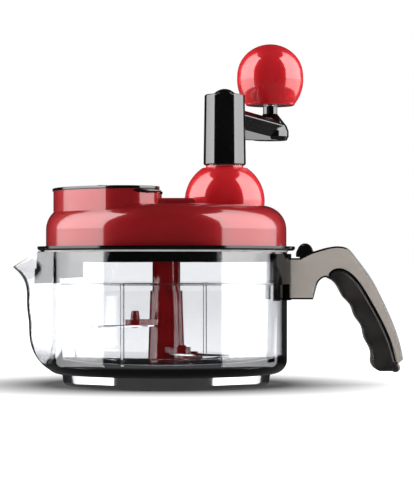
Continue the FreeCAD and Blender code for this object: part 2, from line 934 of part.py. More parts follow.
def make_inner_lid():
    """Black flange, skirt and gearbox floor, with the chute's outlet and the spout gate."""
    rib_outer = lid_radius - lid_wall
    rib_inner = rib_outer - locating_rib_wall
    body = turned(
        (0, plate_bottom),
        (inner_skirt, plate_bottom),
        (inner_skirt, skirt_bottom),
        (skirt_radius, skirt_bottom),
        (skirt_radius, flange_bottom),
        (flange_radius - flange_edge, flange_bottom),
        (flange_radius, flange_bottom + flange_edge),
        (flange_radius, flange_top),
        (rib_outer, flange_top),
        (rib_outer, flange_top + locating_rib_height),
        (rib_inner, flange_top + locating_rib_height),
        (rib_inner, flange_top),
        (inner_skirt, flange_top),
        (inner_skirt, plate_top),
        (0, plate_top),
    )
    parts = [body, make_spout_tab(), make_spout_gate()]
    for angle in bayonet_angles:
        ring = tube(
            skirt_radius + bayonet_depth,
            skirt_radius - skirt_wall / 2,
            skirt_bottom,
            skirt_bottom + bayonet_height,
        )
        sector = wedge(angle - bayonet_half_angle, angle + bayonet_half_angle, bowl_radius, skirt_bottom, plate_top)
        parts.append(ring.common(sector))
    spindle_boss = spindle_journal_radius + running_gap + bush_wall
    foot_boss = shaft_foot_radius + running_gap + bush_wall
    parts.append(cylinder(spindle_boss + lower_boss_wall, plate_bottom, boss_top))
    parts.append(cylinder(foot_boss + lower_boss_wall, plate_bottom, boss_top, crank_x))
    body = fused(parts)
    outlet = chute_half_width - chute_wall - chute_outlet_step
    body = body.cut(kidney(outlet, plate_bottom - overlap, plate_top + overlap))
    body = body.cut(cylinder(spindle_boss, plate_bottom, boss_top))
    body = body.cut(cylinder(foot_boss, plate_top, boss_top, crank_x))
    body = body.cut(seal_ring(bowl_rim, flange_bottom + seal_groove))
    for x, y in lid_screw_spots():
        body = body.cut(cylinder(lid_screw_radius, plate_bottom, plate_top, x, y))
    return body


def seal_ring(low, high):
    """Ring as wide as the seal, over the bowl's rim."""
    middle = bowl_radius - bowl_wall / 2
    return tube(middle + seal_width / 2, middle - seal_width / 2, low, high)


def make_lid_seal():
    """Silicone ring between the flange and the bowl's rim."""
    return seal_ring(bowl_rim, flange_bottom + seal_groove)


def make_spout_tab():
    """Lower part of the skirt, in front of the spout's mouth."""
    low = skirt_bottom - baffle_tab_depth
    ring = tube(skirt_radius, inner_skirt, low, skirt_bottom)
    sector = wedge(180 - baffle_tab_half_angle, 180 + baffle_tab_half_angle, bowl_radius, low, skirt_bottom)
    return ring.common(sector)


def make_spout_gate():
    """Hollow block on the flange that stands in the spout's mouth."""
    reach = bowl_radius + spout_gate_offset
    bottom = flange_bottom - spout_gate_depth
    half = spout_gate_width / 2
    outer = block(-reach, -skirt_radius + overlap, -half, half, bottom, flange_bottom)
    hollow = block(
        -reach + spout_gate_wall,
        -skirt_radius - overlap,
        -half + spout_gate_wall,
        half - spout_gate_wall,
        bottom,
        flange_bottom - spout_gate_roof,
    )
    return outer.cut(hollow)


def lid_screw_spots():
    """The four places of the inner lid's screws."""
    reach = inner_skirt - lid_screw_inset
    spots = []
    for angle in lid_screw_angles:
        turn = math.radians(angle)
        spots.append((reach * math.cos(turn), reach * math.sin(turn)))
    return spots


def make_lid_screws():
    """Four screws from below, through the inner lid into the lid's bosses."""
    screws = []
    for x, y in lid_screw_spots():
        shank = cylinder(lid_screw_radius, plate_bottom, plate_bottom + lid_screw_length, x, y)
        head = cylinder(lid_screw_head_radius, plate_bottom - lid_screw_head_height, plate_bottom, x, y)
        screw = shank.fuse(head).removeSplitter()
        key = hexagon(lid_screw_radius, plate_bottom - lid_screw_head_height, plate_bottom - small_edge, x, y)
        screws.append(screw.cut(key))
    return Part.makeCompound(screws)


def lid_body(radius, bottom, top, shoulder):
    """Closed lid form with a rounded shoulder."""
    corner = (radius - shoulder, top - shoulder)
    return turned(
        (0, bottom),
        (radius, bottom),
        (radius, corner[1]),
        (*corner_middle(corner, shoulder, 45), corner[0], top),
        (0, top),
    )


def pad_body(radius, low, high):
    """Raised pad from the lid's middle to the crank's axis."""
    bar = block(0, crank_x, -radius, radius, low, high)
    return fused([bar, cylinder(radius, low, high), cylinder(radius, low, high, crank_x)])


def gear_pad():
    """The raised pad with its rounded upper edge."""
    pad = pad_body(pad_radius, lid_top - overlap, pad_top)
    return pad.makeFillet(pad_edge, edges_at(pad, pad_top))


def make_lid_shell():
    """Red lid with the chute's wall, the gear pad, hinge lugs and inside bosses."""
    outside = lid_body(lid_radius, lid_bottom, lid_top, lid_shoulder)
    outside = outside.fuse(gear_pad())
    inside = lid_body(lid_radius - lid_wall, lid_bottom, lid_ceiling, lid_shoulder - lid_wall)
    pad_hollow = pad_body(pad_radius - lid_wall, lid_ceiling - overlap, pad_top - lid_wall)
    shell = outside.cut(inside.fuse(pad_hollow))
    top_bush = spindle_top_radius + running_gap + bush_wall
    bosses = [cylinder(top_bush + lower_boss_wall, upper_boss_bottom(), pad_top)]
    for x, y in lid_screw_spots():
        bosses.append(cylinder(lid_boss_radius, lid_bottom, lid_top, x, y))
    parts = [shell, kidney(chute_half_width, lid_bottom, chute_top), make_hinge_lugs()]
    for boss in bosses:
        parts.append(boss.common(outside))
    for x, y in lid_screw_spots():
        parts.append(cylinder(lid_boss_radius, plate_top, lid_bottom, x, y))
    tail = kidney(chute_half_width - small_edge, plate_top, lid_bottom)
    parts.append(tail.common(cylinder(inner_skirt - plug_gap, plate_top, lid_bottom)))
    shell = fused(parts)
    shell = shell.cut(kidney(chute_half_width - chute_wall, plate_top - overlap, chute_top + overlap))
    shell = shell.cut(cylinder(top_bush, upper_boss_bottom(), lid_ceiling))
    opening = shaft_radius + running_gap + crank_bush_wall + dome_bearing_wall + passing_gap
    shell = shell.cut(cylinder(opening, lid_ceiling - overlap, pad_top + overlap, crank_x))
    shell = shell.cut(hinge_cylinder(hinge_pin_radius, hinge_full_length()))
    for x, y in lid_screw_spots():
        shell = shell.cut(cylinder(lid_screw_radius, plate_top, plate_bottom + lid_screw_length, x, y))
    return shell


def at_hinge(shape):
    """Shape modelled with the hinge axis along Y above the origin, put in its place."""
    return about_z(moved(shape, hinge_reach, 0, hinge_z), hinge_azimuth)


def hinge_cylinder(radius, length, start=None):
    """Cylinder on the chute cover's hinge axis, which lies along the chute's arc."""
    low = -length / 2 if start is None else start
    return at_hinge(Part.makeCylinder(radius, length, Vector(0, low, 0), Vector(0, 1, 0)))


def hinge_full_length():
    """Length over both hinge lugs."""
    return knuckle_length + 2 * (hinge_side_gap + hinge_lug_thickness)


def make_hinge_lugs():
    """Two lugs on the lid's shoulder, behind the chute, that hold the hinge pin."""
    start = knuckle_length / 2 + hinge_side_gap
    foot = lid_top - lid_shoulder - hinge_z
    hollow = lid_body(lid_radius - lid_wall / 2, 0, lid_top - lid_wall / 2, lid_shoulder - lid_wall / 2)
    lugs = []
    for low in (start, -start - hinge_lug_thickness):
        eye = hinge_cylinder(knuckle_radius, hinge_lug_thickness, low)
        stem = block(-knuckle_radius + small_edge, 0, low, low + hinge_lug_thickness, foot, 0)
        lugs.append(eye.fuse(at_hinge(stem)).cut(hollow))
    return fused(lugs)


def make_hinge_pin():
    """Steel pin through the lugs and the cover's knuckle."""
    return hinge_cylinder(hinge_pin_radius, hinge_full_length())


def make_chute_cover():
    """Black cover plate with a rim, a thumb tab and a hinge knuckle."""
    top = chute_top + cover_thickness
    plate = kidney(chute_half_width + cover_overhang, chute_top, top)
    plate = plate.makeFillet(cover_edge, edges_at(plate, top))
    rim_outer = chute_half_width - chute_wall - cover_rim_gap
    rim = kidney(rim_outer, chute_top - cover_rim_depth, chute_top)
    rim = rim.cut(kidney(rim_outer - cover_rim_wall, chute_top - cover_rim_depth, chute_top))
    knuckle = hinge_cylinder(knuckle_radius, knuckle_length)
    edge = chute_path_radius + chute_half_width - hinge_reach
    web = profile(
        (edge - knuckle_radius, -hinge_rise),
        (edge, -hinge_rise),
        (0, -knuckle_radius),
        (0, knuckle_radius),
        (edge - knuckle_radius, cover_thickness - hinge_rise),
    )
    web = outward(moved(web, 0, -knuckle_length / 2).extrude(Vector(0, knuckle_length, 0)))
    cover = fused([plate, rim, knuckle, at_hinge(web), make_thumb_tab(top)])
    return cover.cut(hinge_cylinder(hinge_pin_radius + running_gap, hinge_full_length()))


def make_thumb_tab(top):
    """Rounded lip that hangs over the front right corner of the chute."""
    wall = chute_half_width + plug_gap
    reach = wall + tab_reach
    inner = wall - tab_depth
    half = tab_width / 2
    outline = [
        line(Vector(inner, -half, 0), Vector(wall, -half, 0)),
        arc(Vector(wall, -half, 0), Vector(reach, 0, 0), Vector(wall, half, 0)),
        line(Vector(wall, half, 0), Vector(inner, half, 0)),
        line(Vector(inner, half, 0), Vector(inner, -half, 0)),
    ]
    tab = Part.Face(Part.Wire(outline)).extrude(Vector(0, 0, tab_drop + cover_thickness + tab_rise))
    tab = moved(tab, 0, 0, chute_top - tab_drop)
    room = cylinder(wall, chute_top - tab_drop, chute_top)
    tab = tab.cut(room)
    tab = tab.makeFillet(small_edge * 1.5, edges_at(tab, top + tab_rise))
    tab = about_z(tab, tab_angle)
    angle = math.radians(180 + chute_half_angle)
    return moved(tab, chute_path_radius * math.cos(angle), chute_path_radius * math.sin(angle))


def dome_shell(radius, high):
    """Sphere over the crank's axis, cut off at a height."""
    centre = Vector(crank_x, 0, dome_bottom + dome_centre_height)
    ball = Part.makeSphere(radius, centre)
    return ball.common(cylinder(radius + overlap, dome_bottom, high, crank_x))


def make_crank_housing():
    """Red dome with a collar on top and a bearing tube inside."""
    bush = shaft_radius + running_gap + crank_bush_wall
    outside = dome_shell(dome_radius, dome_top)
    outside = outside.makeFillet(dome_edge, edges_at(outside, dome_top))
    inside = dome_shell(dome_radius - dome_wall, dome_top - dome_wall)
    collar = cylinder(dome_collar_radius, dome_top - overlap, collar_top, crank_x)
    bearing = cylinder(bush + dome_bearing_wall, collar_top - dome_bearing_length, dome_top, crank_x)
    dome = fused([outside.cut(inside), collar, bearing])
    dome = dome.cut(gear_pad())
    return dome.cut(cylinder(bush, dome_bottom, collar_top, crank_x))


def make_crank_bush():
    """Bush in the dome's bearing for the crank shaft."""
    inner = shaft_radius + running_gap
    return tube(inner + crank_bush_wall, inner, collar_top - dome_bearing_length, collar_top, crank_x)


def make_crank_shaft():
    """Steel shaft: foot journal, flats for gear and column, round bearing length."""
    foot_low = plate_top + shaft_foot_gap
    foot_high = boss_top + bush_flange + running_gap
    bearing_low = collar_top - dome_bearing_length - shaft_round_lead
    flats_top = hub_bottom + hub_socket
    foot = cylinder(shaft_foot_radius, foot_low, foot_high, crank_x)
    lower = hexagon(shaft_flats, foot_high, bearing_low, crank_x)
    round_part = cylinder(shaft_radius, bearing_low, hub_bottom, crank_x)
    upper = hexagon(shaft_flats, hub_bottom, flats_top, crank_x)
    shaft = fused([foot, lower, round_part, upper])
    return shaft.cut(cylinder(screw_shank_radius, flats_top - screw_length, flats_top, crank_x))


def make_thrust_washer():
    """Thin washer between the dome's collar and the crank column."""
    return tube(washer_radius, shaft_radius, hub_bottom - washer_thickness, hub_bottom, crank_x)


def make_crank_arm():
    """Crank column and arm in one moulding, with a boss for the knob's axle."""
    column = cone(hub_bottom_radius, hub_top_radius, hub_bottom, hub_top, crank_x)
    column = column.makeChamfer(hub_foot_edge, edges_at(column, hub_bottom))
    column = column.makeFillet(hub_edge, edges_at(column, hub_top))
    arm = about_z(moved(make_arm_blank(), crank_x), arm_azimuth, crank_x)
    body = fused([column, arm])
    socket_top = hub_bottom + hub_socket
    seat_top = socket_top + hub_web
    body = body.cut(hexagon(shaft_flats, hub_bottom, socket_top, crank_x))
    body = body.cut(cylinder(screw_shank_radius, socket_top, seat_top, crank_x))
    body = body.cut(cylinder(hub_pocket_radius, seat_top, hub_top, crank_x))
    return body.cut(cylinder(axle_radius, crank_arm_base, neck_top, knob_x, knob_y))


def arm_section(inset, high):
    """Crowned hull section of the arm, swept along it beside its falling top."""
    ridge = crank_arm_half_width - inset
    crown = arm_crown_half_width - inset
    hull = arm_hull_half_width - inset
    keel = arm_keel_half_width - inset
    section = profile(
        (-crown, high),
        (-ridge, -arm_ridge_drop),
        (-ridge, -arm_ridge_drop - arm_ridge_band),
        (-hull, -arm_ridge_drop - arm_hull_depth),
        (-keel, -crank_arm_root_height - overlap),
        (keel, -crank_arm_root_height - overlap),
        (hull, -arm_ridge_drop - arm_hull_depth),
        (ridge, -arm_ridge_drop - arm_ridge_band),
        (ridge, -arm_ridge_drop),
        (crown, high),
    )
    sweep = section.extrude(Vector(0, crank_length + hub_top_radius, 0))
    sweep = moved(about_z(sweep, -90), -hub_top_radius)
    fall = math.atan2(crank_arm_top - arm_end_top, crank_length - hub_top_radius)
    sweep.rotate(Vector(0, 0, 0), Vector(0, 1, 0), math.degrees(fall))
    return outward(moved(sweep, hub_top_radius, 0, crank_arm_top))


def make_arm_nose():
    """Round end of the arm under the knob, with the conical neck and its stem."""
    end = crank_arm_end_radius
    body = turned(
        (0, arm_end_bottom),
        (end - arm_nose_draw, arm_end_bottom),
        (end, arm_end_bottom + arm_nose_draw * 2),
        (end, arm_end_top - arm_nose_drop),
        (crank_arm_half_width, arm_end_top - arm_ridge_drop),
        (neck_root_radius, arm_end_top),
        (neck_radius, neck_cone_top),
        (neck_radius, neck_top),
        (0, neck_top),
    )
    return moved(body, crank_length)


def make_arm_blank():
    """Hollow arm that points at +X from the crank's axis."""
    bottom = crank_arm_base
    side = profile(
        (0, bottom),
        (hub_top_radius, bottom),
        (crank_length, arm_end_bottom),
        (crank_length, crank_arm_top + hub_edge),
        (0, crank_arm_top + hub_edge),
    )
    deep = 2 * crank_arm_half_width
    side = moved(side, 0, -deep).extrude(Vector(0, 2 * deep, 0))
    roof = arm_end_top - crank_arm_roof
    hollow = arm_section(crank_arm_wall, 0).common(cylinder(crank_length, bottom, roof))
    hollow = hollow.cut(cylinder(hub_bottom_radius, bottom, roof))
    hollow = hollow.cut(cylinder(axle_head_radius + crank_arm_wall, bottom, roof, crank_length))
    arm = fused([arm_section(0.0, 0).common(side).cut(hollow), make_arm_nose()])
    head_room = arm_end_bottom + axle_head_height + small_edge
    return arm.cut(cylinder(axle_head_radius, bottom, head_room, crank_length))


def make_crank_screw():
    """Screw that holds the column on the shaft."""
    socket_top = hub_bottom + hub_socket
    head_low = socket_top + hub_web
    shank = cylinder(screw_shank_radius, socket_top - screw_length, head_low, crank_x)
    head = cylinder(screw_head_radius, head_low, head_low + screw_head_height, crank_x)
    head = head.makeFillet(small_edge, edges_at(head, head_low + screw_head_height))
    screw = shank.fuse(head).removeSplitter()
    return screw.cut(hexagon(2 * socket_key_radius, head_low + overlap, head_low + screw_head_height, crank_x))


def make_crank_cap():
    """Black domed cap that closes the column's top."""
    rise = cap_height
    radius = (cap_radius ** 2 + rise ** 2) / (2 * rise)
    ball = Part.makeSphere(radius, Vector(crank_x, 0, hub_top + rise - radius))
    crown = ball.common(cylinder(cap_radius, hub_top, hub_top + rise + overlap, crank_x))
    stem_radius = hub_pocket_radius - cap_stem_gap
    stem = tube(stem_radius, stem_radius - cap_stem_wall, hub_top - cap_stem_length, hub_top, crank_x)
    return fused([crown, stem])


def make_knob_axle():
    """Steel rivet that the knob turns on, with its head under the arm."""
    head_low = arm_end_bottom + small_edge
    head = cylinder(axle_head_radius - plug_gap, head_low, head_low + axle_head_height, knob_x, knob_y)
    shank = cylinder(axle_radius, head_low, knob_bottom + axle_length, knob_x, knob_y)
    return head.fuse(shank).removeSplitter()


def make_knob_bush():
    """Sleeve inside the knob."""
    inner = axle_radius + running_gap
    return tube(inner + knob_bush_wall, inner, knob_bottom, knob_bottom + knob_bush_length, knob_x, knob_y)


def make_crank_knob():
    """Red knob: a ball that narrows to a flat foot."""
    belly = knob_bottom + knob_belly_height
    top = knob_bottom + knob_height
    crown = knob_height - knob_belly_height
    curve = Part.BSplineCurve()
    points = []
    for step in range(7):
        turn = math.radians(15 * step)
        points.append(Vector(knob_radius * math.cos(turn), 0, belly + crown * math.sin(turn)))
    curve.interpolate(points, InitialTangent=Vector(0, 0, 1), FinalTangent=Vector(-1, 0, 0))
    chord = knob_foot_radius + (knob_radius - knob_foot_radius) * knob_swell_height / knob_belly_height
    lower_middle = Vector(chord + knob_swell, 0, knob_bottom + knob_swell_height)
    foot = Vector(knob_foot_radius, 0, knob_bottom)
    edges = [
        line(Vector(0, 0, knob_bottom), foot),
        arc(foot, lower_middle, Vector(knob_radius, 0, belly)),
        curve.toShape(),
        line(Vector(0, 0, top), Vector(0, 0, knob_bottom)),
    ]
    ball = outward(Part.Face(Part.Wire(edges)).revolve(Vector(0, 0, 0), UP, 360))
    ball = ball.makeFillet(knob_edge, edges_at(ball, knob_bottom))
    ball = moved(ball, knob_x, knob_y)
    bush = axle_radius + running_gap + knob_bush_wall
    ball = ball.cut(cylinder(bush, knob_bottom, knob_bottom + knob_bush_length, knob_x, knob_y))
    tip = knob_bottom + axle_length + passing_gap
    return ball.cut(cylinder(axle_radius + running_gap, knob_bottom, tip, knob_x, knob_y))


def make_handle_bracket():
    """Black saddle round the bowl, with legs, behind the handle's block."""
    top = bowl_rim - bracket_top_gap
    bottom = top - bracket_height
    foot = bottom - bracket_leg_length
    ring = tube(bowl_radius + bracket_thickness, bowl_radius, bottom, top)
    saddle = ring.common(wedge(-bracket_half_angle, bracket_half_angle, bowl_radius * 2, bottom, top))
    legs = tube(bowl_radius + bracket_thickness, bowl_radius, foot, bottom)
    spans = (
        (-bracket_half_angle, -bracket_half_angle + bracket_leg_angle),
        (-bracket_centre_half_angle, bracket_centre_half_angle),
        (bracket_half_angle - bracket_leg_angle, bracket_half_angle),
    )
    parts = [saddle]
    for start, end in spans:
        parts.append(legs.common(wedge(start, end, bowl_radius * 2, foot, bottom)))
    bracket = fused(parts)
    rail = block(0, bowl_radius + rail_depth, -rail_half_width, rail_half_width, rail_bottom, top)
    bracket = bracket.cut(rail)
    for y in (-handle_screw_spacing, handle_screw_spacing):
        bracket = bracket.cut(handle_screw_cylinder(handle_screw_radius, -overlap, handle_block_reach, y))
    return bracket


def handle_screw_cylinder(radius, start, end, y):
    """Cylinder on a handle screw's axis, which runs along X."""
    place = at_handle((start, handle_screw_height)) + Vector(0, y, 0)
    return Part.makeCylinder(radius, end - start, place, Vector(1, 0, 0))


def at_handle(point):
    """Point of the handle's plane, from a distance out of the bowl's side and a height from its rim."""
    return Vector(bowl_radius + point[0], 0, bowl_rim + point[1])


def smooth(points):
    """Smooth edge through points of the handle's plane."""
    curve = Part.BSplineCurve()
    curve.interpolate([at_handle(point) for point in points])
    return curve.toShape()


def finger_curve():
    """Scalloped inner edge of the grip, from its lower end to its upper end."""
    low = at_handle(grip_inner_end)
    high = at_handle(grip_curve[0])
    base = Part.Arc(low, at_handle(grip_inner_middle), high)
    centre = Part.Circle(low, at_handle(grip_inner_middle), high).Center
    points = []
    for step in range(2 * finger_count + 1):
        share = step / (2 * finger_count)
        place = base.value(base.FirstParameter + (base.LastParameter - base.FirstParameter) * share)
        inward = (centre - place).normalize()
        if inward.x > 0:
            inward = inward * -1
        if step % 2 == 1:
            place = place - inward * finger_depth
        points.append((place.x - bowl_radius, place.z - bowl_rim))
    return smooth(points)


def plate_from(edges, half_width):
    """Solid from an outline in the handle's plane, centred on that plane."""
    wire = Part.Wire(Part.__sortEdges__(edges))
    face = moved(Part.Face(wire), 0, -half_width)
    return outward(face.extrude(Vector(0, 2 * half_width, 0)))


def make_handle_shell():
    """Gloss black handle: the block on the bowl and the outer strip of the loop."""
    block_corner = (handle_block_reach, handle_block_bottom)
    outline = [
        line(at_handle((0, handle_block_bottom)), at_handle(block_corner)),
        smooth((block_corner,) + handle_arch_curve),
        smooth(grip_curve),
        line(at_handle(grip_curve[-1]), at_handle(grip_tail)),
        line(at_handle(grip_tail), at_handle(handle_outer_curve[-1])),
        smooth(handle_outer_curve),
        line(at_handle(handle_outer_curve[0]), at_handle(handle_top_step)),
        line(at_handle(handle_top_step), at_handle((0, handle_top_step[1]))),
        line(at_handle((0, handle_top_step[1])), at_handle((0, handle_block_bottom))),
    ]
    shell = plate_from(outline, handle_half_width)
    shell = shell.makeFillet(handle_edge, side_edges(shell, handle_half_width, 3 * handle_edge))
    shell = shell.cut(cylinder(bowl_radius + bracket_thickness, 0, flange_top))
    for y in (-handle_screw_spacing, handle_screw_spacing):
        head_start = handle_block_reach - handle_screw_recess
        head_end = handle_block_reach + handle_screw_recess
        shell = shell.cut(handle_screw_cylinder(handle_screw_radius, 0, head_start, y))
        shell = shell.cut(handle_screw_cylinder(handle_screw_head_radius, head_start, head_end, y))
    return shell.cut(latch_room())


def latch_room():
    """Pocket under the latch button and the bore for its stem and spring."""
    low = latch_bottom - latch_travel - plug_gap
    pocket = block(
        latch_x - latch_half_length - latch_pocket_gap,
        latch_x + latch_half_length + latch_pocket_gap,
        -latch_half_width - latch_pocket_gap,
        latch_half_width + latch_pocket_gap,
        low,
        latch_top,
    )
    bore = cylinder(latch_stem_radius + latch_bore_gap, latch_bore_bottom, low, latch_x)
    return pocket.fuse(bore)


def make_handle_grip():
    """Soft black insert with finger hollows."""
    edges = [
        smooth(grip_curve),
        line(at_handle(grip_curve[-1]), at_handle(grip_tail)),
        arc(at_handle(grip_tail), at_handle(grip_tip_middle), at_handle(grip_tip_end)),
        line(at_handle(grip_tip_end), at_handle(grip_tip_inner_start)),
        arc(at_handle(grip_tip_inner_start), at_handle(grip_tip_inner_middle), at_handle(grip_inner_end)),
        finger_curve(),
    ]
    grip = plate_from(edges, grip_half_width)
    return grip.makeFillet(grip_edge, side_edges(grip, grip_half_width))


def make_handle_screws():
    """Two screws from the finger gap through the block into the bracket."""
    screws = []
    head_start = handle_block_reach - handle_screw_recess
    for y in (-handle_screw_spacing, handle_screw_spacing):
        shank = handle_screw_cylinder(handle_screw_radius, running_gap, head_start, y)
        head = handle_screw_cylinder(handle_screw_head_radius, head_start, head_start + handle_screw_head_height, y)
        screws.append(shank.fuse(head).removeSplitter())
    return Part.makeCompound(screws)


def make_latch_button():
    """Domed button beside the lid's flange, on a stem in the handle."""
    x_low = latch_x - latch_half_length
    x_high = latch_x + latch_half_length
    shoulder = latch_bottom + latch_flat
    face = profile(
        (x_low, latch_bottom),
        (x_high, latch_bottom),
        (x_high, shoulder),
        (latch_x, latch_top, x_low, shoulder),
        (x_low, latch_bottom),
    )
    button = moved(face, 0, -latch_half_width).extrude(Vector(0, 2 * latch_half_width, 0))
    button = button.makeFillet(small_edge * 2, side_edges(button, latch_half_width))
    button = button.cut(cylinder(flange_radius + latch_flange_gap, 0, latch_top * 2))
    stem = cylinder(latch_stem_radius, latch_bottom - latch_stem_length, latch_bottom + overlap, latch_x)
    return button.fuse(stem).removeSplitter()


def make_latch_spring():
    """Compression spring under the latch's stem."""
    radius = latch_spring_radius
    height = latch_spring_length - 2 * latch_spring_wire
    pitch = height / latch_spring_turns
    helix = Part.makeHelix(pitch, height, radius)
    start = Part.Circle(Vector(radius, 0, 0), Vector(0, 1, 0), latch_spring_wire / 2)
    section = Part.Wire([start.toShape()])
    spring = outward(Part.Wire(helix).makePipeShell([section], True, True))
    return moved(spring, latch_x, 0, latch_bore_bottom + latch_spring_wire)


def save(name, shape):
    """Write one piece and print its size."""
    if shape.ShapeType == "Compound" and len(shape.Solids) == 1:
        shape = shape.Solids[0]
    for solid in shape.Solids:
        if solid.Volume < 0:
            raise ValueError(name + " is inside out")
    shape.exportStep(os.path.join("parts", name + ".step"))
    box = shape.BoundBox
    print(
        f"{name:20s} solids {len(shape.Solids)} valid {shape.isValid()} volume {shape.Volume:10.1f} "
        f"x {box.XMin:7.1f} {box.XMax:7.1f} y {box.YMin:7.1f} {box.YMax:7.1f} z {box.ZMin:7.1f} {box.ZMax:7.1f}"
    )


def main():
    """Build every piece and write it."""
    os.makedirs("parts", exist_ok=True)
    pieces = {
        "base_cap": make_base_cap(),
        "bowl": make_bowl(),
        "centre_pin": make_centre_pin(),
        "handle_bracket": make_handle_bracket(),
        "handle_shell": make_handle_shell(),
        "handle_grip": make_handle_grip(),
        "handle_screws": make_handle_screws(),
        "latch_button": make_latch_button(),
        "latch_spring": make_latch_spring(),
        "blade_column": make_blade_column(),
        "column_bush": make_column_bush(),
        "blade_rivets": make_blade_rivets(),
        "inner_lid": make_inner_lid(),
        "lid_seal": make_lid_seal(),
        "lid_shell": make_lid_shell(),
        "lid_screws": make_lid_screws(),
        "crank_housing": make_crank_housing(),
        "crank_bush": make_crank_bush(),
        "crank_foot_bush": make_crank_foot_bush(),
        "spindle_bush": make_spindle_bush(),
        "spindle_top_bush": make_spindle_top_bush(),
        "drive_spindle": make_drive_spindle(),
        "drive_pinion": make_drive_pinion(),
        "crank_gear": make_crank_gear(),
        "crank_shaft": make_crank_shaft(),
        "thrust_washer": make_thrust_washer(),
        "crank_arm": make_crank_arm(),
        "crank_screw": make_crank_screw(),
        "crank_cap": make_crank_cap(),
        "knob_axle": make_knob_axle(),
        "knob_bush": make_knob_bush(),
        "crank_knob": make_crank_knob(),
        "chute_cover": make_chute_cover(),
        "cover_hinge_pin": make_hinge_pin(),
    }
    pieces.update(make_blades())
    for name, shape in pieces.items():
        save(name, shape)


if __name__ == "__main__":
    main()
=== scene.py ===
"""Looks of a crank food chopper: studio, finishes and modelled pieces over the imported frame."""
import logging
import math
from abc import ABC, abstractmethod
from dataclasses import dataclass
from enum import Enum
from typing import Any, ClassVar

import bpy
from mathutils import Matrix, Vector


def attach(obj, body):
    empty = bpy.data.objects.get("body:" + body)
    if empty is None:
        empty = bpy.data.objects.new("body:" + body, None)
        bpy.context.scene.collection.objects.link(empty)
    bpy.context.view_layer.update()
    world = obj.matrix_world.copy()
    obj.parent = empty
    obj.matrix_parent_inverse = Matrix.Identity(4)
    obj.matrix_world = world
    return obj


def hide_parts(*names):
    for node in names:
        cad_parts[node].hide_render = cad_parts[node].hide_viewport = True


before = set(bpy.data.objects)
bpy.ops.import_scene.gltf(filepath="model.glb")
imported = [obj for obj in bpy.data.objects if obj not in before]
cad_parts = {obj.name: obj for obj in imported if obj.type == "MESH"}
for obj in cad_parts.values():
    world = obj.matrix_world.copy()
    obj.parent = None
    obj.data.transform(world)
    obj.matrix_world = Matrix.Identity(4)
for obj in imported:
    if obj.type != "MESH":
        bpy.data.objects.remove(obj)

log = logging.getLogger("chopper")

MM = 0.001
IMAGE_WIDTH = 414

# Most of a noise texture's values lie in this span
NOISE_SPAN = {"From Min": 0.3, "From Max": 0.7}

# Input and output numbers of a Mix node, whose sockets share their names
MIX_SHARE = 0
MIX_FIRST_FLOAT = 2
MIX_SECOND_FLOAT = 3
MIX_FIRST_COLOUR = 6
MIX_SECOND_COLOUR = 7
MIX_COLOUR = 2

Colour = tuple[float, float, float, float]
Place = tuple[float, float, float]
Steps = list[tuple[float, float]]


class Body(Enum):
    """The bodies that pieces ride on."""

    BOWL = "bowl"
    LATCH = "latch"
    BLADES = "blades"
    LID = "lid"
    SPINDLE = "spindle"
    CRANK = "crank"
    KNOB = "knob"
    COVER = "chute_cover"


class Slot(Enum):
    """The record's material slots."""

    CLEAR = "clear_plastic"
    CLEAR_RED = "clear_red_plastic"
    RED = "red_plastic"
    BLACK_GLOSS = "black_gloss"
    BLACK = "black_plastic"
    BLACK_SOFT = "black_soft"
    RUBBER = "black_rubber"
    SILICONE = "grey_silicone"
    WHITE = "white_plastic"
    STEEL = "steel"


def linear(hex_colour: str) -> Colour:
    """Turn an sRGB hex colour into a linear one.

    Args:
        hex_colour: Six hex digits, as in "c81e28".

    Returns:
        Linear red, green, blue and an alpha of 1.
    """
    channels = []
    for start in (0, 2, 4):
        value = int(hex_colour[start:start + 2], 16) / 255
        channels.append(value / 12.92 if value <= 0.04045 else ((value + 0.055) / 1.055) ** 2.4)
    return (channels[0], channels[1], channels[2], 1.0)


def per_metre(size_mm: float) -> float:
    """Texture scale at which one feature is this many millimetres across."""
    return 1000.0 / size_mm


def add_node(tree: bpy.types.NodeTree, kind: str, settings: dict[str, Any] | None = None,
             sockets: dict[str | int, Any] | None = None) -> bpy.types.Node:
    """Add a shader node with its settings and links.

    Args:
        tree: The node tree that gets the node.
        kind: The node's type, as in "ShaderNodeMath".
        settings: Values for the node's own properties.
        sockets: For each input, by name or number, a value, or the output or the node that is linked to it.

    Returns:
        The new node.
    """
    node = tree.nodes.new(kind)
    for name, value in (settings or {}).items():
        setattr(node, name, value)
    for key, value in (sockets or {}).items():
        socket = node.inputs[key]
        if isinstance(value, bpy.types.Node):
            value = value.outputs[0]
        if isinstance(value, bpy.types.NodeSocket):
            tree.links.new(value, socket)
        else:
            socket.default_value = value
    return node


class Finish(ABC):
    """A surface as its maker would name it, built once as a Blender material."""

    name: str

    def material(self) -> bpy.types.Material:
        """Return this finish's material, and build it on first use.

        Returns:
            The material.
        """
        found = bpy.data.materials.get(self.name)
        if found:
            return found
        made = bpy.data.materials.new(self.name)
        made.use_nodes = True
        tree = made.node_tree
        tree.nodes.clear()
        shader = self.shade(tree)
        add_node(tree, "ShaderNodeOutputMaterial", sockets={"Surface": shader.outputs[0]})
        return made

    @abstractmethod
    def shade(self, tree: bpy.types.NodeTree) -> bpy.types.Node:
        """Add this finish's nodes and return its shader.

        Args:
            tree: The node tree that gets the nodes.

        Returns:
            The shader.
        """


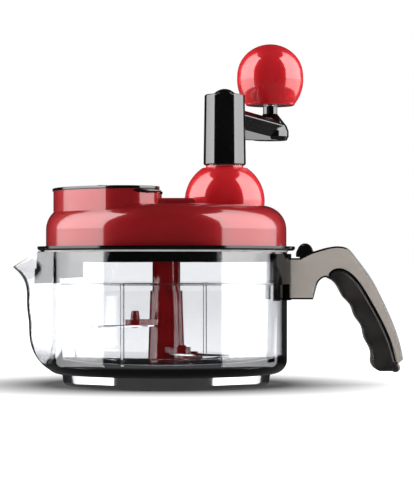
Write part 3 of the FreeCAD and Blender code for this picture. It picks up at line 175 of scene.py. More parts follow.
def coordinates(tree: bpy.types.NodeTree, stretch: Place = (1, 1, 1)) -> bpy.types.NodeSocket:
    """Object coordinates in metres.

    Args:
        tree: The node tree that gets the nodes.
        stretch: How many times finer a pattern is along each axis.

    Returns:
        The vector output to link.
    """
    place = add_node(tree, "ShaderNodeTexCoord")
    if stretch == (1, 1, 1):
        return place.outputs["Object"]
    mapped = add_node(tree, "ShaderNodeMapping", sockets={
        "Vector": place.outputs["Object"], "Scale": stretch,
    })
    return mapped.outputs["Vector"]


def speckle(tree: bpy.types.NodeTree, size_mm: float, detail: float = 2.0, roughness: float = 0.5,
            stretch: Place = (1, 1, 1)) -> bpy.types.NodeSocket:
    """Soft noise with features of a real size.

    Args:
        tree: The node tree that gets the nodes.
        size_mm: Width of one feature.
        detail: Octaves of finer noise.
        roughness: Strength of each finer octave.
        stretch: How many times finer the pattern is along each axis.

    Returns:
        The noise value, around one half.
    """
    noise = add_node(tree, "ShaderNodeTexNoise", sockets={
        "Vector": coordinates(tree, stretch), "Scale": per_metre(size_mm), "Detail": detail,
        "Roughness": roughness,
    })
    return noise.outputs["Fac"]


def drifting(tree: bpy.types.NodeTree, pattern: bpy.types.NodeSocket, first_hex: str,
             second_hex: str) -> bpy.types.NodeSocket:
    """Colour that drifts between two with a noise pattern.

    Args:
        tree: The node tree that gets the nodes.
        pattern: The noise.
        first_hex: Colour where the noise is low.
        second_hex: Colour where it is high.

    Returns:
        The colour output to link.
    """
    share = add_node(tree, "ShaderNodeMapRange", sockets={"Value": pattern, **NOISE_SPAN})
    mixed = add_node(tree, "ShaderNodeMix", {"data_type": "RGBA"}, {
        MIX_SHARE: share, MIX_FIRST_COLOUR: linear(first_hex), MIX_SECOND_COLOUR: linear(second_hex),
    })
    return mixed.outputs[MIX_COLOUR]


@dataclass(frozen=True)
class GlossAbs(Finish):
    """ABS injection moulded in a polished steel tool: a deep colour under a hard, slightly wavy gloss."""

    name: str
    hex_colour: str
    shaded_hex: str
    flake: float = 0.0
    gloss: float = 0.07
    haze: float = 0.11
    under_gloss: float = 0.5
    coat: float = 0.3
    ior: float = 1.54

    def shade(self, tree: bpy.types.NodeTree) -> bpy.types.Node:
        """Colour drifts with the pigment's flow, flake glows round highlights, and a clear skin is sharp.

        Args:
            tree: The node tree that gets the nodes.

        Returns:
            The shader.
        """
        flow = speckle(tree, 34.0, 3.0)
        wear = speckle(tree, 9.0, 4.0, 0.6)
        peel = add_node(tree, "ShaderNodeBump", sockets={
            "Height": speckle(tree, 2.6, 1.0), "Distance": 0.02 * MM, "Strength": 0.12,
        })
        return add_node(tree, "ShaderNodeBsdfPrincipled", sockets={
            "Base Color": drifting(tree, flow, self.hex_colour, self.shaded_hex),
            "Metallic": self.flake,
            "Roughness": add_node(tree, "ShaderNodeMapRange", sockets={
                "Value": wear, **NOISE_SPAN, "To Min": self.gloss, "To Max": self.haze,
            }),
            "IOR": self.ior,
            "Specular IOR Level": self.under_gloss,
            "Normal": peel,
            "Coat Weight": self.coat,
            "Coat Roughness": 0.06,
            "Coat Normal": peel,
        })


@dataclass(frozen=True)
class ClearSan(Finish):
    """SAN moulded clear: glassy, with faint flow waves that bend what is seen through it."""

    name: str = "clear_san"
    hex_colour: str = "fcfdfd"
    depth_hex: str = "e6e6ea"
    depth_per_metre: float = 180.0
    ior: float = 1.57

    def material(self) -> bpy.types.Material:
        """Return the clear material, whose body greys with the depth that light goes through.

        Returns:
            The material.
        """
        found = bpy.data.materials.get(self.name)
        if found:
            return found
        made = super().material()
        tree = made.node_tree
        body = add_node(tree, "ShaderNodeVolumeAbsorption", sockets={
            "Color": linear(self.depth_hex), "Density": self.depth_per_metre,
        })
        tree.links.new(body.outputs[0], tree.nodes["Material Output"].inputs["Volume"])
        return made

    def shade(self, tree: bpy.types.NodeTree) -> bpy.types.Node:
        """Clear body with fine handling haze and shallow flow waves.

        Args:
            tree: The node tree that gets the nodes.

        Returns:
            The shader.
        """
        waves = speckle(tree, 26.0, 1.0)
        haze = speckle(tree, 12.0, 4.0, 0.6)
        return add_node(tree, "ShaderNodeBsdfPrincipled", sockets={
            "Base Color": linear(self.hex_colour),
            "Roughness": add_node(tree, "ShaderNodeMapRange", sockets={
                "Value": haze, **NOISE_SPAN, "To Min": 0.0, "To Max": 0.02,
            }),
            "IOR": self.ior,
            "Specular IOR Level": 0.0,
            "Transmission Weight": 1.0,
            "Normal": add_node(tree, "ShaderNodeBump", sockets={
                "Height": waves, "Distance": 0.25 * MM, "Strength": 0.1,
            }),
        })


@dataclass(frozen=True)
class TintedSan(Finish):
    """SAN moulded through with red dye: light goes some way in, so thin parts glow and thick ones darken."""

    name: str = "red_tinted_san"
    hex_colour: str = "b80d15"
    deep_hex: str = "960a10"
    ior: float = 1.57

    def shade(self, tree: bpy.types.NodeTree) -> bpy.types.Node:
        """Dyed body that lets a part of the light through under a gloss.

        Args:
            tree: The node tree that gets the nodes.

        Returns:
            The shader.
        """
        flow = speckle(tree, 14.0, 3.0)
        haze = speckle(tree, 6.0, 3.0)
        return add_node(tree, "ShaderNodeBsdfPrincipled", sockets={
            "Base Color": drifting(tree, flow, self.hex_colour, self.deep_hex),
            "Roughness": add_node(tree, "ShaderNodeMapRange", sockets={
                "Value": haze, **NOISE_SPAN, "To Min": 0.05, "To Max": 0.1,
            }),
            "IOR": self.ior,
            "Subsurface Weight": 0.25,
            "Subsurface Radius": (0.006, 0.0008, 0.0008),
            "Subsurface Scale": 1.0,
            "Normal": add_node(tree, "ShaderNodeBump", sockets={
                "Height": haze, "Distance": 0.03 * MM, "Strength": 0.1,
            }),
        })


@dataclass(frozen=True)
class SatinPlastic(Finish):
    """Moulded plastic from a spark-eroded tool: a fine even grain that spreads highlights."""

    name: str
    hex_colour: str
    worn_hex: str
    gloss: float = 0.32
    haze: float = 0.42
    grain_mm: float = 0.5

    def shade(self, tree: bpy.types.NodeTree) -> bpy.types.Node:
        """Grain in the bump, drawn a little coarser than life so that it shows.

        Args:
            tree: The node tree that gets the nodes.

        Returns:
            The shader.
        """
        flow = speckle(tree, 20.0, 3.0)
        grain = speckle(tree, self.grain_mm, 1.0)
        return add_node(tree, "ShaderNodeBsdfPrincipled", sockets={
            "Base Color": drifting(tree, flow, self.hex_colour, self.worn_hex),
            "Roughness": add_node(tree, "ShaderNodeMapRange", sockets={
                "Value": flow, **NOISE_SPAN, "To Min": self.gloss, "To Max": self.haze,
            }),
            "IOR": 1.5,
            "Normal": add_node(tree, "ShaderNodeBump", sockets={
                "Height": grain, "Distance": 0.04 * MM, "Strength": 0.25,
            }),
        })


@dataclass(frozen=True)
class SoftTouchTpe(Finish):
    """TPE moulded over the grip: near black, matt, with a leathery micro grain that greys at a glance."""

    name: str = "soft_touch_tpe"
    hex_colour: str = "151212"
    rubbed_hex: str = "2a2625"

    def shade(self, tree: bpy.types.NodeTree) -> bpy.types.Node:
        """Matt body, lighter where hands rub it, with sheen toward its edges.

        Args:
            tree: The node tree that gets the nodes.

        Returns:
            The shader.
        """
        rub = speckle(tree, 16.0, 3.0)
        grain = add_node(tree, "ShaderNodeTexVoronoi", sockets={
            "Vector": coordinates(tree), "Scale": per_metre(0.9), "Randomness": 1.0,
        })
        return add_node(tree, "ShaderNodeBsdfPrincipled", sockets={
            "Base Color": drifting(tree, rub, self.hex_colour, self.rubbed_hex),
            "Roughness": add_node(tree, "ShaderNodeMapRange", sockets={
                "Value": rub, **NOISE_SPAN, "To Min": 0.34, "To Max": 0.46,
            }),
            "IOR": 1.5,
            "Sheen Weight": 0.15,
            "Sheen Roughness": 0.4,
            "Normal": add_node(tree, "ShaderNodeBump", sockets={
                "Height": grain.outputs["Distance"], "Distance": 0.05 * MM, "Strength": 0.3,
            }),
        })


@dataclass(frozen=True)
class PaintedReflectionShell(Finish):
    """Black gloss moulding whose flat cheeks carry a painted reflection: a satin warm grey that stands in for
    the soft box that the black gloss mirrors there.
    """

    name: str = "black_abs_painted_reflection_cheeks"
    # Painted reflection: a warm grey on the flat cheeks for the soft box mirrored in black gloss.
    painted_reflection_hex: str = "a39b94"
    painted_reflection_second_hex: str = "9a938c"
    edge_hex: str = "060505"
    cheek_start_mm: float = 12.4
    cheek_end_mm: float = 12.6
    edge_gloss: float = 0.08
    cheek_haze: float = 0.4

    def shade(self, tree: bpy.types.NodeTree) -> bpy.types.Node:
        """The painted grey reflection starts where the flat cheek does, and its fine mist shows in colour and
        gloss.

        Args:
            tree: The node tree that gets the nodes.

        Returns:
            The shader.
        """
        parts = add_node(tree, "ShaderNodeSeparateXYZ", sockets={0: coordinates(tree)})
        away = add_node(tree, "ShaderNodeMath", {"operation": "ABSOLUTE"}, {0: parts.outputs[1]})
        cheek = add_node(tree, "ShaderNodeMapRange", sockets={
            "Value": away, "From Min": self.cheek_start_mm * MM, "From Max": self.cheek_end_mm * MM,
        })
        mist = speckle(tree, 1.2, 3.0, 0.6)
        # Painted reflection: the grey drifts with noise and fills the flat cheeks; the edges stay black.
        painted_reflection = drifting(tree, speckle(tree, 22.0, 3.0), self.painted_reflection_hex, self.painted_reflection_second_hex)
        painted_cheek_colour = add_node(tree, "ShaderNodeMix", {"data_type": "RGBA"}, {
            MIX_SHARE: cheek, MIX_FIRST_COLOUR: linear(self.edge_hex), MIX_SECOND_COLOUR: painted_reflection,
        })
        return add_node(tree, "ShaderNodeBsdfPrincipled", sockets={
            "Base Color": painted_cheek_colour.outputs[MIX_COLOUR],
            "Roughness": add_node(tree, "ShaderNodeMapRange", sockets={
                "Value": cheek, "To Min": self.edge_gloss, "To Max": self.cheek_haze,
            }),
            "IOR": 1.54,
            "Normal": add_node(tree, "ShaderNodeBump", sockets={
                "Height": mist, "Distance": 0.01 * MM, "Strength": 0.15,
            }),
        })


@dataclass(frozen=True)
class DarkChrome(Finish):
    """Black nickel plated over a polished ring: a dark mirror."""

    name: str = "black_nickel_plate"
    hex_colour: str = "b0b0b4"
    worn_hex: str = "a6a6aa"

    def shade(self, tree: bpy.types.NodeTree) -> bpy.types.Node:
        """Metal with a slightly uneven polish.

        Args:
            tree: The node tree that gets the nodes.

        Returns:
            The shader.
        """
        polish = speckle(tree, 18.0, 3.0)
        return add_node(tree, "ShaderNodeBsdfPrincipled", sockets={
            "Base Color": drifting(tree, polish, self.hex_colour, self.worn_hex),
            "Metallic": 1.0,
            "Roughness": add_node(tree, "ShaderNodeMapRange", sockets={
                "Value": polish, **NOISE_SPAN, "To Min": 0.07, "To Max": 0.12,
            }),
        })


@dataclass(frozen=True)
class StainlessSteel(Finish):
    """Stainless steel, ground along one way: bright, with fine grinding lines."""

    name: str = "ground_stainless_steel"
    hex_colour: str = "c9c9cb"
    dull_hex: str = "a8a9ac"
    stretch: Place = (1, 1, 14)

    def shade(self, tree: bpy.types.NodeTree) -> bpy.types.Node:
        """Lines lie round the piece, as turning or grinding leaves them.

        Args:
            tree: The node tree that gets the nodes.

        Returns:
            The shader.
        """
        lines = speckle(tree, 4.0, 3.0, 0.6, self.stretch)
        return add_node(tree, "ShaderNodeBsdfPrincipled", sockets={
            "Base Color": drifting(tree, lines, self.hex_colour, self.dull_hex),
            "Metallic": 1.0,
            "Roughness": add_node(tree, "ShaderNodeMapRange", sockets={
                "Value": lines, **NOISE_SPAN, "To Min": 0.16, "To Max": 0.3,
            }),
            "Normal": add_node(tree, "ShaderNodeBump", sockets={
                "Height": lines, "Distance": 0.01 * MM, "Strength": 0.2,
            }),
        })


@dataclass(frozen=True)
class Silicone(Finish):
    """Silicone pressed in a matt mould: milky grey and soft."""

    name: str = "grey_silicone"

    def shade(self, tree: bpy.types.NodeTree) -> bpy.types.Node:
        """Slightly see-through body with dust-fine grain.

        Args:
            tree: The node tree that gets the nodes.

        Returns:
            The shader.
        """
        dust = speckle(tree, 3.0, 4.0, 0.6)
        return add_node(tree, "ShaderNodeBsdfPrincipled", sockets={
            "Base Color": drifting(tree, dust, "bdbcb8", "a5a4a0"),
            "Roughness": add_node(tree, "ShaderNodeMapRange", sockets={
                "Value": dust, **NOISE_SPAN, "To Min": 0.5, "To Max": 0.62,
            }),
            "IOR": 1.41,
            "Subsurface Weight": 0.2,
            "Subsurface Radius": (0.002, 0.002, 0.002),
            "Subsurface Scale": 1.0,
            "Normal": add_node(tree, "ShaderNodeBump", sockets={
                "Height": dust, "Distance": 0.03 * MM, "Strength": 0.2,
            }),
        })


@dataclass(frozen=True)
class Studio:
    """Level camera, pale floor, white surround, soft lamps and the soft boxes that gloss reflects."""

    camera_place: Place = (0.0305, -1.575, 0.0881)
    lens: float = 182.6
    sensor: float = 36.0
    horizon_drop_px: float = 25.0
    floor_half: float = 6.0
    box_start_left: float = 60.5
    box_start_right: float = 55.0
    box_end_left: float = 127.0
    box_end_right: float = 131.0
    box_low: float = -20.0
    box_high: float = 60.0
    box_near: float = 8.0
    box_far: float = 2.5
    box_foot_level: float = 0.68
    front_dim: float = 0.02
    floor_gloss: float = 0.08
    through_white: float = 1.3
    through_dark: float = 0.08
    inside_light: float = 1.1
    ambient: float = 0.15
    box_side_soft: float = 1.2
    box_rim_soft: float = 1.5
    box_foot_start: float = 1.8
    box_foot_end: float = 4.0
    box_fade_power: float = 1.5
    floor_gloss_start: float = -16.0
    floor_gloss_end: float = -4.0
    behind_start: float = 0.75
    behind_end: float = 0.95
    bounced: float = 0.5
    floor_hex: str = "e6e6e6"
    floor_shade_hex: str = "5a5a5a"
    # Painted shadow round the object: the floor's glow is nil within the first distance and full from the
    # second.
    painted_shadow_inner: float = 0.09
    painted_shadow_outer: float = 0.2
    glow_level: float = 1.2
    lamp_aim: Place = (0.01, 0.0, 0.11)
    lamps: ClassVar[tuple[tuple[str, Place, float, float], ...]] = (
        ("front_lamp", (0.1, -1.7, 1.0), 1.4, 0.42),
        ("left_lamp", (-1.45, 0.68, 0.6), 1.2, 3.0),
        ("right_lamp", (1.5, 0.68, 0.6), 1.2, 3.0),
        ("top_lamp", (0.0, -0.1, 1.6), 1.2, 0.5),
    )
    step_kinds: ClassVar[dict[str, tuple[str, dict[str, str], tuple[int | str, ...]]]] = {
        "ease": ("ShaderNodeMapRange", {"interpolation_type": "SMOOTHSTEP"},
                 ("Value", "From Min", "From Max", "To Min", "To Max")),
        "choose": ("ShaderNodeMix", {"data_type": "FLOAT"}, (MIX_SHARE, MIX_FIRST_FLOAT, MIX_SECOND_FLOAT)),
    }

    def build(self) -> None:
        """Build camera, floor, surround and lamps."""
        self.build_camera()
        self.build_floor()
        self.build_surround()
        self.build_lamps()
        bpy.context.scene.view_settings.view_transform = "Standard"

    def build_camera(self) -> None:
        """Level camera at the photograph's distance and height."""
        bpy.ops.object.camera_add(location=self.camera_place, rotation=(math.pi / 2, 0, 0))
        camera = bpy.context.object
        camera.name = "photo_camera"
        camera.data.sensor_fit = "HORIZONTAL"
        camera.data.sensor_width = self.sensor
        camera.data.lens = self.lens
        camera.data.shift_y = self.horizon_drop_px / IMAGE_WIDTH
        bpy.context.scene.camera = camera

    def build_floor(self) -> None:
        """Pale sheet that is white to the camera and through clear plastic, with the object's cast shadow and
        a painted shadow where its glow fades out toward the object.
        """
        bpy.ops.mesh.primitive_plane_add(size=2 * self.floor_half)
        floor = bpy.context.object
        floor.name = "studio_floor"
        floor.visible_glossy = False
        paper = bpy.data.materials.new("pale_paper")
        paper.use_nodes = True
        tree = paper.node_tree
        tree.nodes.clear()
        path = add_node(tree, "ShaderNodeLightPath")
        seen = add_node(tree, "ShaderNodeMath", {"operation": "MAXIMUM"}, {
            0: path.outputs["Is Camera Ray"], 1: path.outputs["Is Transmission Ray"],
        })
        plain = add_node(tree, "ShaderNodeBsdfDiffuse", sockets={"Color": linear(self.floor_hex)})
        shade = add_node(tree, "ShaderNodeBsdfDiffuse", sockets={"Color": linear(self.floor_shade_hex)})
        place = add_node(tree, "ShaderNodeTexCoord")
        reach = add_node(tree, "ShaderNodeVectorMath", {"operation": "LENGTH"}, {
            0: place.outputs["Object"],
        })
        # Painted shadow: the glow fades out toward the object's axis, so the floor darkens round the foot
        # even where no light is blocked.
        glow_past_painted_shadow = add_node(tree, "ShaderNodeMapRange", sockets={
            "Value": reach.outputs["Value"], "From Min": self.painted_shadow_inner, "From Max": self.painted_shadow_outer,
            "To Min": 0.0, "To Max": self.glow_level,
        })
        bright = add_node(tree, "ShaderNodeMath", {"operation": "MAXIMUM"}, {
            0: glow_past_painted_shadow, 1: path.outputs["Is Transmission Ray"],
        })
        glow = add_node(tree, "ShaderNodeEmission", sockets={"Color": linear("ffffff"), "Strength": bright})
        both = add_node(tree, "ShaderNodeAddShader", sockets={0: shade, 1: glow})
        mix = add_node(tree, "ShaderNodeMixShader", sockets={0: seen, 1: plain, 2: both})
        mirrored = add_node(tree, "ShaderNodeMath", {"operation": "GREATER_THAN"}, {
            0: path.outputs["Glossy Depth"], 1: self.bounced,
        })
        gone = add_node(tree, "ShaderNodeBsdfTransparent")
        shown = add_node(tree, "ShaderNodeMixShader", sockets={0: mirrored, 1: mix, 2: gone})
        add_node(tree, "ShaderNodeOutputMaterial", sockets={"Surface": shown})
        floor.data.materials.append(paper)

    def build_surround(self) -> None:
        """White to the camera, two tall soft boxes to gloss, and an even grey to matt surfaces."""
        world = bpy.data.worlds.new("studio_surround")
        bpy.context.scene.world = world
        world.use_nodes = True
        tree = world.node_tree
        tree.nodes.clear()

        way = add_node(tree, "ShaderNodeTexCoord")
        parts = add_node(tree, "ShaderNodeSeparateXYZ", sockets={0: way.outputs["Generated"]})
        path = add_node(tree, "ShaderNodeLightPath")
        known = {"side": parts.outputs[0], "depth": parts.outputs[1], "up": parts.outputs[2]}
        for ray in ("Is Camera Ray", "Is Glossy Ray", "Is Transmission Ray", "Glossy Depth", "Diffuse Depth"):
            known[ray] = path.outputs[ray]
        for name, step, *values in self.surround_steps():
            math_kind = ("ShaderNodeMath", {"operation": step}, (0, 1, 2))
            kind, settings, keys = self.step_kinds.get(step, math_kind)
            known[name] = add_node(tree, kind, settings, {
                key: known[value] if isinstance(value, str) else value for key, value in zip(keys, values)
            }).outputs[0]
        light = add_node(tree, "ShaderNodeBackground", sockets={
            "Color": linear("ffffff"), "Strength": known["strength"],
        })
        add_node(tree, "ShaderNodeOutputWorld", sockets={"Surface": light})

    def surround_steps(self) -> list[tuple[Any, ...]]:
        """Steps that give the surround's strength from a ray's way and kind.

        Returns:
            For each step its name, a Math operation or a key of step_kinds, and its values, where a word is
            the result of an earlier step.
        """
        edge, rim = self.box_side_soft, self.box_rim_soft
        return [
            ("beside", "ABSOLUTE", "side"),
            ("ahead", "MULTIPLY", "depth", -1.0),
            ("turned", "ARCTAN2", "beside", "ahead"),
            ("azimuth", "DEGREES", "turned"),
            ("lifted", "ARCSINE", "up"),
            ("rise", "DEGREES", "lifted"),
            ("right", "GREATER_THAN", "side", 0.0),
            ("first", "MULTIPLY_ADD", "right", self.box_start_right - self.box_start_left,
             self.box_start_left),
            ("last", "MULTIPLY_ADD", "right", self.box_end_right - self.box_end_left, self.box_end_left),
            ("past_first", "SUBTRACT", "azimuth", "first"),
            ("to_last", "SUBTRACT", "last", "azimuth"),
            ("near_side", "ease", "past_first", -edge, edge, 0.0, 1.0),
            ("far_side", "ease", "to_last", -edge, edge, 0.0, 1.0),
            ("across", "MULTIPLY", "near_side", "far_side"),
            ("past_foot", "SUBTRACT", "rise", self.box_low),
            ("to_top", "SUBTRACT", self.box_high, "rise"),
            ("foot", "ease", "past_foot", -rim, rim, 0.0, 1.0),
            ("top", "ease", "to_top", -rim, rim, 0.0, 1.0),
            ("upright", "MULTIPLY", "foot", "top"),
            ("width", "SUBTRACT", "last", "first"),
            ("share", "DIVIDE", "past_first", "width"),
            ("inside", "MAXIMUM", "share", 0.0),
            ("bent", "POWER", "inside", self.box_fade_power),
            ("fade", "MULTIPLY", "bent", self.box_near - self.box_far),
            ("full", "SUBTRACT", self.box_near, "fade"),
            ("footing", "ease", "rise", self.box_foot_start, self.box_foot_end, self.box_foot_level, 1.0),
            ("level", "MULTIPLY", "full", "footing"),
            ("shape", "MULTIPLY", "across", "upright"),
            ("panel", "MULTIPLY", "level", "shape"),
            ("front", "ADD", "panel", self.front_dim),
            ("below", "ease", "rise", self.floor_gloss_start, self.floor_gloss_end, self.floor_gloss, 0.0),
            ("gloss", "ADD", "front", "below"),
            ("behind", "ease", "depth", self.behind_start, self.behind_end, self.through_dark,
             self.through_white),
            ("mirrored", "GREATER_THAN", "Glossy Depth", self.bounced),
            ("scattered", "GREATER_THAN", "Diffuse Depth", self.bounced),
            ("outside", "choose", "Is Glossy Ray", self.ambient, "gloss"),
            ("clear", "choose", "mirrored", "behind", "gloss"),
            ("through", "choose", "scattered", "clear", self.inside_light),
            ("unseen", "choose", "Is Transmission Ray", "outside", "through"),
            ("strength", "choose", "Is Camera Ray", "unseen", 1.0),
        ]

    def build_lamps(self) -> None:
        """Large soft lamps at the front, the sides and the top, which gloss doesn't mirror."""
        for lamp in self.lamps:
            self.build_lamp(*lamp)

    def build_lamp(self, name: str, place: Place, size: float, level: float) -> None:
        """Add a square area lamp that faces the object.

        Args:
            name: Name of the lamp.
            place: Where it stands, in metres.
            size: Length of its side, in metres.
            level: How bright it lights a white card that faces it at the object.
        """
        aim = Vector(self.lamp_aim) - Vector(place)
        bpy.ops.object.light_add(type="AREA", location=place,
                                 rotation=aim.to_track_quat("-Z", "Y").to_euler())
        lamp = bpy.context.object
        lamp.name = name
        lamp.data.shape = "SQUARE"
        lamp.data.size = size
        lamp.data.energy = level * (math.pi * aim.length) ** 2
        lamp.visible_glossy = False
        lamp.visible_camera = False
        lamp.visible_transmission = False


# Painted shade: the lid's red ABS is a darker copy of the dome's, for the shade on the lid's front.
RED_LID_PAINTED_SHADE = GlossAbs("red_flake_abs_lid_painted_shade", "84161b", "7c1418", 0.22, 0.3, 0.36, 0.08, 1.0)
RED_DOME = GlossAbs("red_flake_abs_dome", "b21b22", "a8191f", 0.12, 0.3, 0.36, 0.08, 1.0)
BLACK_GLOSS = GlossAbs("black_gloss_abs", "060505", "0a0909")
BLACK_INNER = GlossAbs("black_polished_abs", "060505", "0a0909", under_gloss=0.4, coat=0.0)
# Handle shell: black gloss with a painted grey reflection on its flat cheeks.
PAINTED_REFLECTION_SHELL = PaintedReflectionShell()
BLACK_SATIN = SatinPlastic("black_satin_polypropylene", "1a1919", "222121")
NATURAL_NYLON = SatinPlastic("natural_nylon", "dcd6c6", "d2cbb8")
CLEAR = ClearSan()
TINTED = TintedSan()
GRIP = SoftTouchTpe()
PLATED = DarkChrome()
STEEL = StainlessSteel()
SEAL = Silicone()


def metres(*values: float) -> Place:
    """Turn millimetres into metres."""
    return (values[0] * MM, values[1] * MM, values[2] * MM)


def arc_steps(start: tuple[float, float], end: tuple[float, float], bulge: float, count: int) -> Steps:
    """Points of a shallow arc between two points of a turned profile, without its start.

    Args:
        start: Radius and height where the arc starts.
        end: Radius and height where it ends.
        bulge: How far its middle stands off the straight line, in millimetres, outward for a rising line.
        count: Number of points.

    Returns:
        Radius and height of each point.
    """
    run, rise = end[0] - start[0], end[1] - start[1]
    length = math.hypot(run, rise)
    points = []
    for step in range(1, count + 1):
        share = step / count
        off = 4 * bulge * share * (1 - share)
        points.append((start[0] + run * share + off * rise / length,
                       start[1] + rise * share - off * run / length))
    return points


def lathe(name: str, centre: tuple[float, float], steps: Steps, segments: int = 128) -> bpy.types.Object:
    """Turn a form by extruding a disc ring by ring.

    Args:
        name: Name of the new object.
        centre: Place of the axis in plan, in millimetres.
        steps: Radius and height of each ring in millimetres, from the disc on.
        segments: Number of sides.

    Returns:
        The closed form.
    """
    bpy.ops.mesh.primitive_circle_add(vertices=segments, radius=steps[0][0] * MM, fill_type="NGON",
                                      location=metres(*centre, steps[0][1]))
    piece = bpy.context.object
    piece.name = name
    bpy.ops.object.transform_apply(location=True, rotation=True, scale=True)
    bpy.ops.object.mode_set(mode="EDIT")
    bpy.ops.mesh.select_all(action="SELECT")
    for start, end in zip(steps, steps[1:]):
        bpy.ops.mesh.extrude_region_move(TRANSFORM_OT_translate={"value": (0, 0, (end[1] - start[1]) * MM)})
        share = end[0] / start[0]
        bpy.ops.transform.resize(value=(share, share, 1), center_override=metres(*centre, end[1]))
    bpy.ops.object.mode_set(mode="OBJECT")
    return piece


def bevelled(piece: bpy.types.Object, width_mm: float, segments: int = 3, angle: float = 35.0) -> None:
    """Round a piece's sharp edges with a bevel modifier that is applied.

    Args:
        piece: The piece.
        width_mm: Width of the rounding.
        segments: Faces across it.
        angle: Edges that turn by more than this are rounded, in degrees.
    """
    bevel = piece.modifiers.new("edge_rounding", "BEVEL")
    bevel.width = width_mm * MM
    bevel.segments = segments
    bevel.limit_method = "ANGLE"
    bevel.angle_limit = math.radians(angle)
    bpy.context.view_layer.objects.active = piece
    bpy.ops.object.modifier_apply(modifier=bevel.name)


def joined(name: str, *pieces: bpy.types.Object) -> bpy.types.Object:
    """Join pieces into one object.

    Args:
        name: Name of the joined object.
        *pieces: The pieces, of which the first one is kept.

    Returns:
        The joined object.
    """
    bpy.ops.object.select_all(action="DESELECT")
    for piece in pieces:
        piece.select_set(True)
    bpy.context.view_layer.objects.active = pieces[0]
    bpy.ops.object.join()
    pieces[0].name = name
    return pieces[0]


def placed(piece: bpy.types.Object, finish: Finish, body: Body, slot: Slot, *nodes: str,
           smooth: float = 40.0) -> bpy.types.Object:
    """Clean a modelled piece, dress it and parent it under its body's empty.

    Args:
        piece: The piece.
        finish: The finish that it gets.
        body: The body that it rides on.
        slot: The record's material slot; not used.
        *nodes: Names of the CAD nodes that it stands for.
        smooth: Edges below this angle are shaded smooth, in degrees.

    Returns:
        The piece.
    """
    bpy.ops.object.select_all(action="DESELECT")
    piece.select_set(True)
    bpy.context.view_layer.objects.active = piece
    bpy.ops.object.mode_set(mode="EDIT")
    bpy.ops.mesh.select_all(action="SELECT")
    bpy.ops.mesh.remove_doubles(threshold=0.002 * MM)
    bpy.ops.mesh.normals_make_consistent(inside=False)
    bpy.ops.object.mode_set(mode="OBJECT")
    bpy.ops.object.shade_smooth_by_angle(angle=math.radians(smooth))
    piece.data.materials.clear()
    piece.data.materials.append(finish.material())
    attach(piece, body.value)
    if nodes:
        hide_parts(*nodes)
    log.info("modelled %s with %d faces", piece.name, len(piece.data.polygons))
    return piece


class SubAssembly:
    """Pieces that belong together on the object."""

    def dress(self, finish: Finish, *nodes: str) -> None:
        """Give CAD nodes a finish.

        Args:
            finish: The finish that they get.
            *nodes: Names of the nodes.
        """
        for name in nodes:
            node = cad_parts[name]
            for slot in node.material_slots:
                slot.material = finish.material()
            log.info("dressed %s in %s", name, finish.name)

    def build(self) -> None:
        """Build and dress the pieces."""
        raise NotImplementedError


@dataclass
class BowlUnit(SubAssembly):
    """Clear bowl on its plated base ring, with its centre pin and the bead of its fill line."""

    bead_radius: float = 90.7
    bead_height: float = 75.4
    bead_size: float = 0.75
    bead_half_angle: float = 146.0
    bead_sides: int = 16
    bead_steps: int = 180

    def build_bead(self) -> None:
        """Bead round the wall at the fill line, open at the spout: a small disc spun about the axis."""
        start = math.radians(-self.bead_half_angle)
        place = metres(self.bead_radius * math.cos(start), self.bead_radius * math.sin(start),
                       self.bead_height)
        bpy.ops.mesh.primitive_circle_add(vertices=self.bead_sides, radius=self.bead_size * MM,
                                          fill_type="NGON", location=place,
                                          rotation=(math.pi / 2, 0, start))
        bead = bpy.context.object
        bead.name = "fill_line_bead"
        bpy.ops.object.transform_apply(location=True, rotation=True, scale=True)
        bpy.ops.object.mode_set(mode="EDIT")
        bpy.ops.mesh.select_all(action="SELECT")
        bpy.ops.mesh.spin(steps=self.bead_steps, angle=-2 * math.radians(self.bead_half_angle),
                          center=(0, 0, 0), axis=(0, 0, 1))
        bpy.ops.object.mode_set(mode="OBJECT")
        placed(bead, CLEAR, Body.BOWL, Slot.CLEAR)

    def build(self) -> None:
        """Dress the bowl's pieces and spin the bead."""
        self.build_bead()
        self.dress(PLATED, "base_cap")
        self.dress(CLEAR, "bowl")
        self.dress(STEEL, "centre_pin")


class HandleUnit(SubAssembly):
    """Bracket, handle shell with its soft grip, screws and latch."""

    def build(self) -> None:
        """Dress the handle's pieces."""
        self.dress(BLACK_GLOSS, "handle_bracket")
        self.dress(PAINTED_REFLECTION_SHELL, "handle_shell")
        self.dress(GRIP, "handle_grip")
        self.dress(STEEL, "handle_screws", "latch_spring")


class BladeUnit(SubAssembly):
    """Red column with its three blades, rivets and bush."""

    def build(self) -> None:
        """Dress the column and its blades."""
        self.dress(TINTED, "blade_column")
        self.dress(STEEL, "lower_blade", "middle_blade", "upper_blade", "blade_rivets")
        self.dress(NATURAL_NYLON, "column_bush")


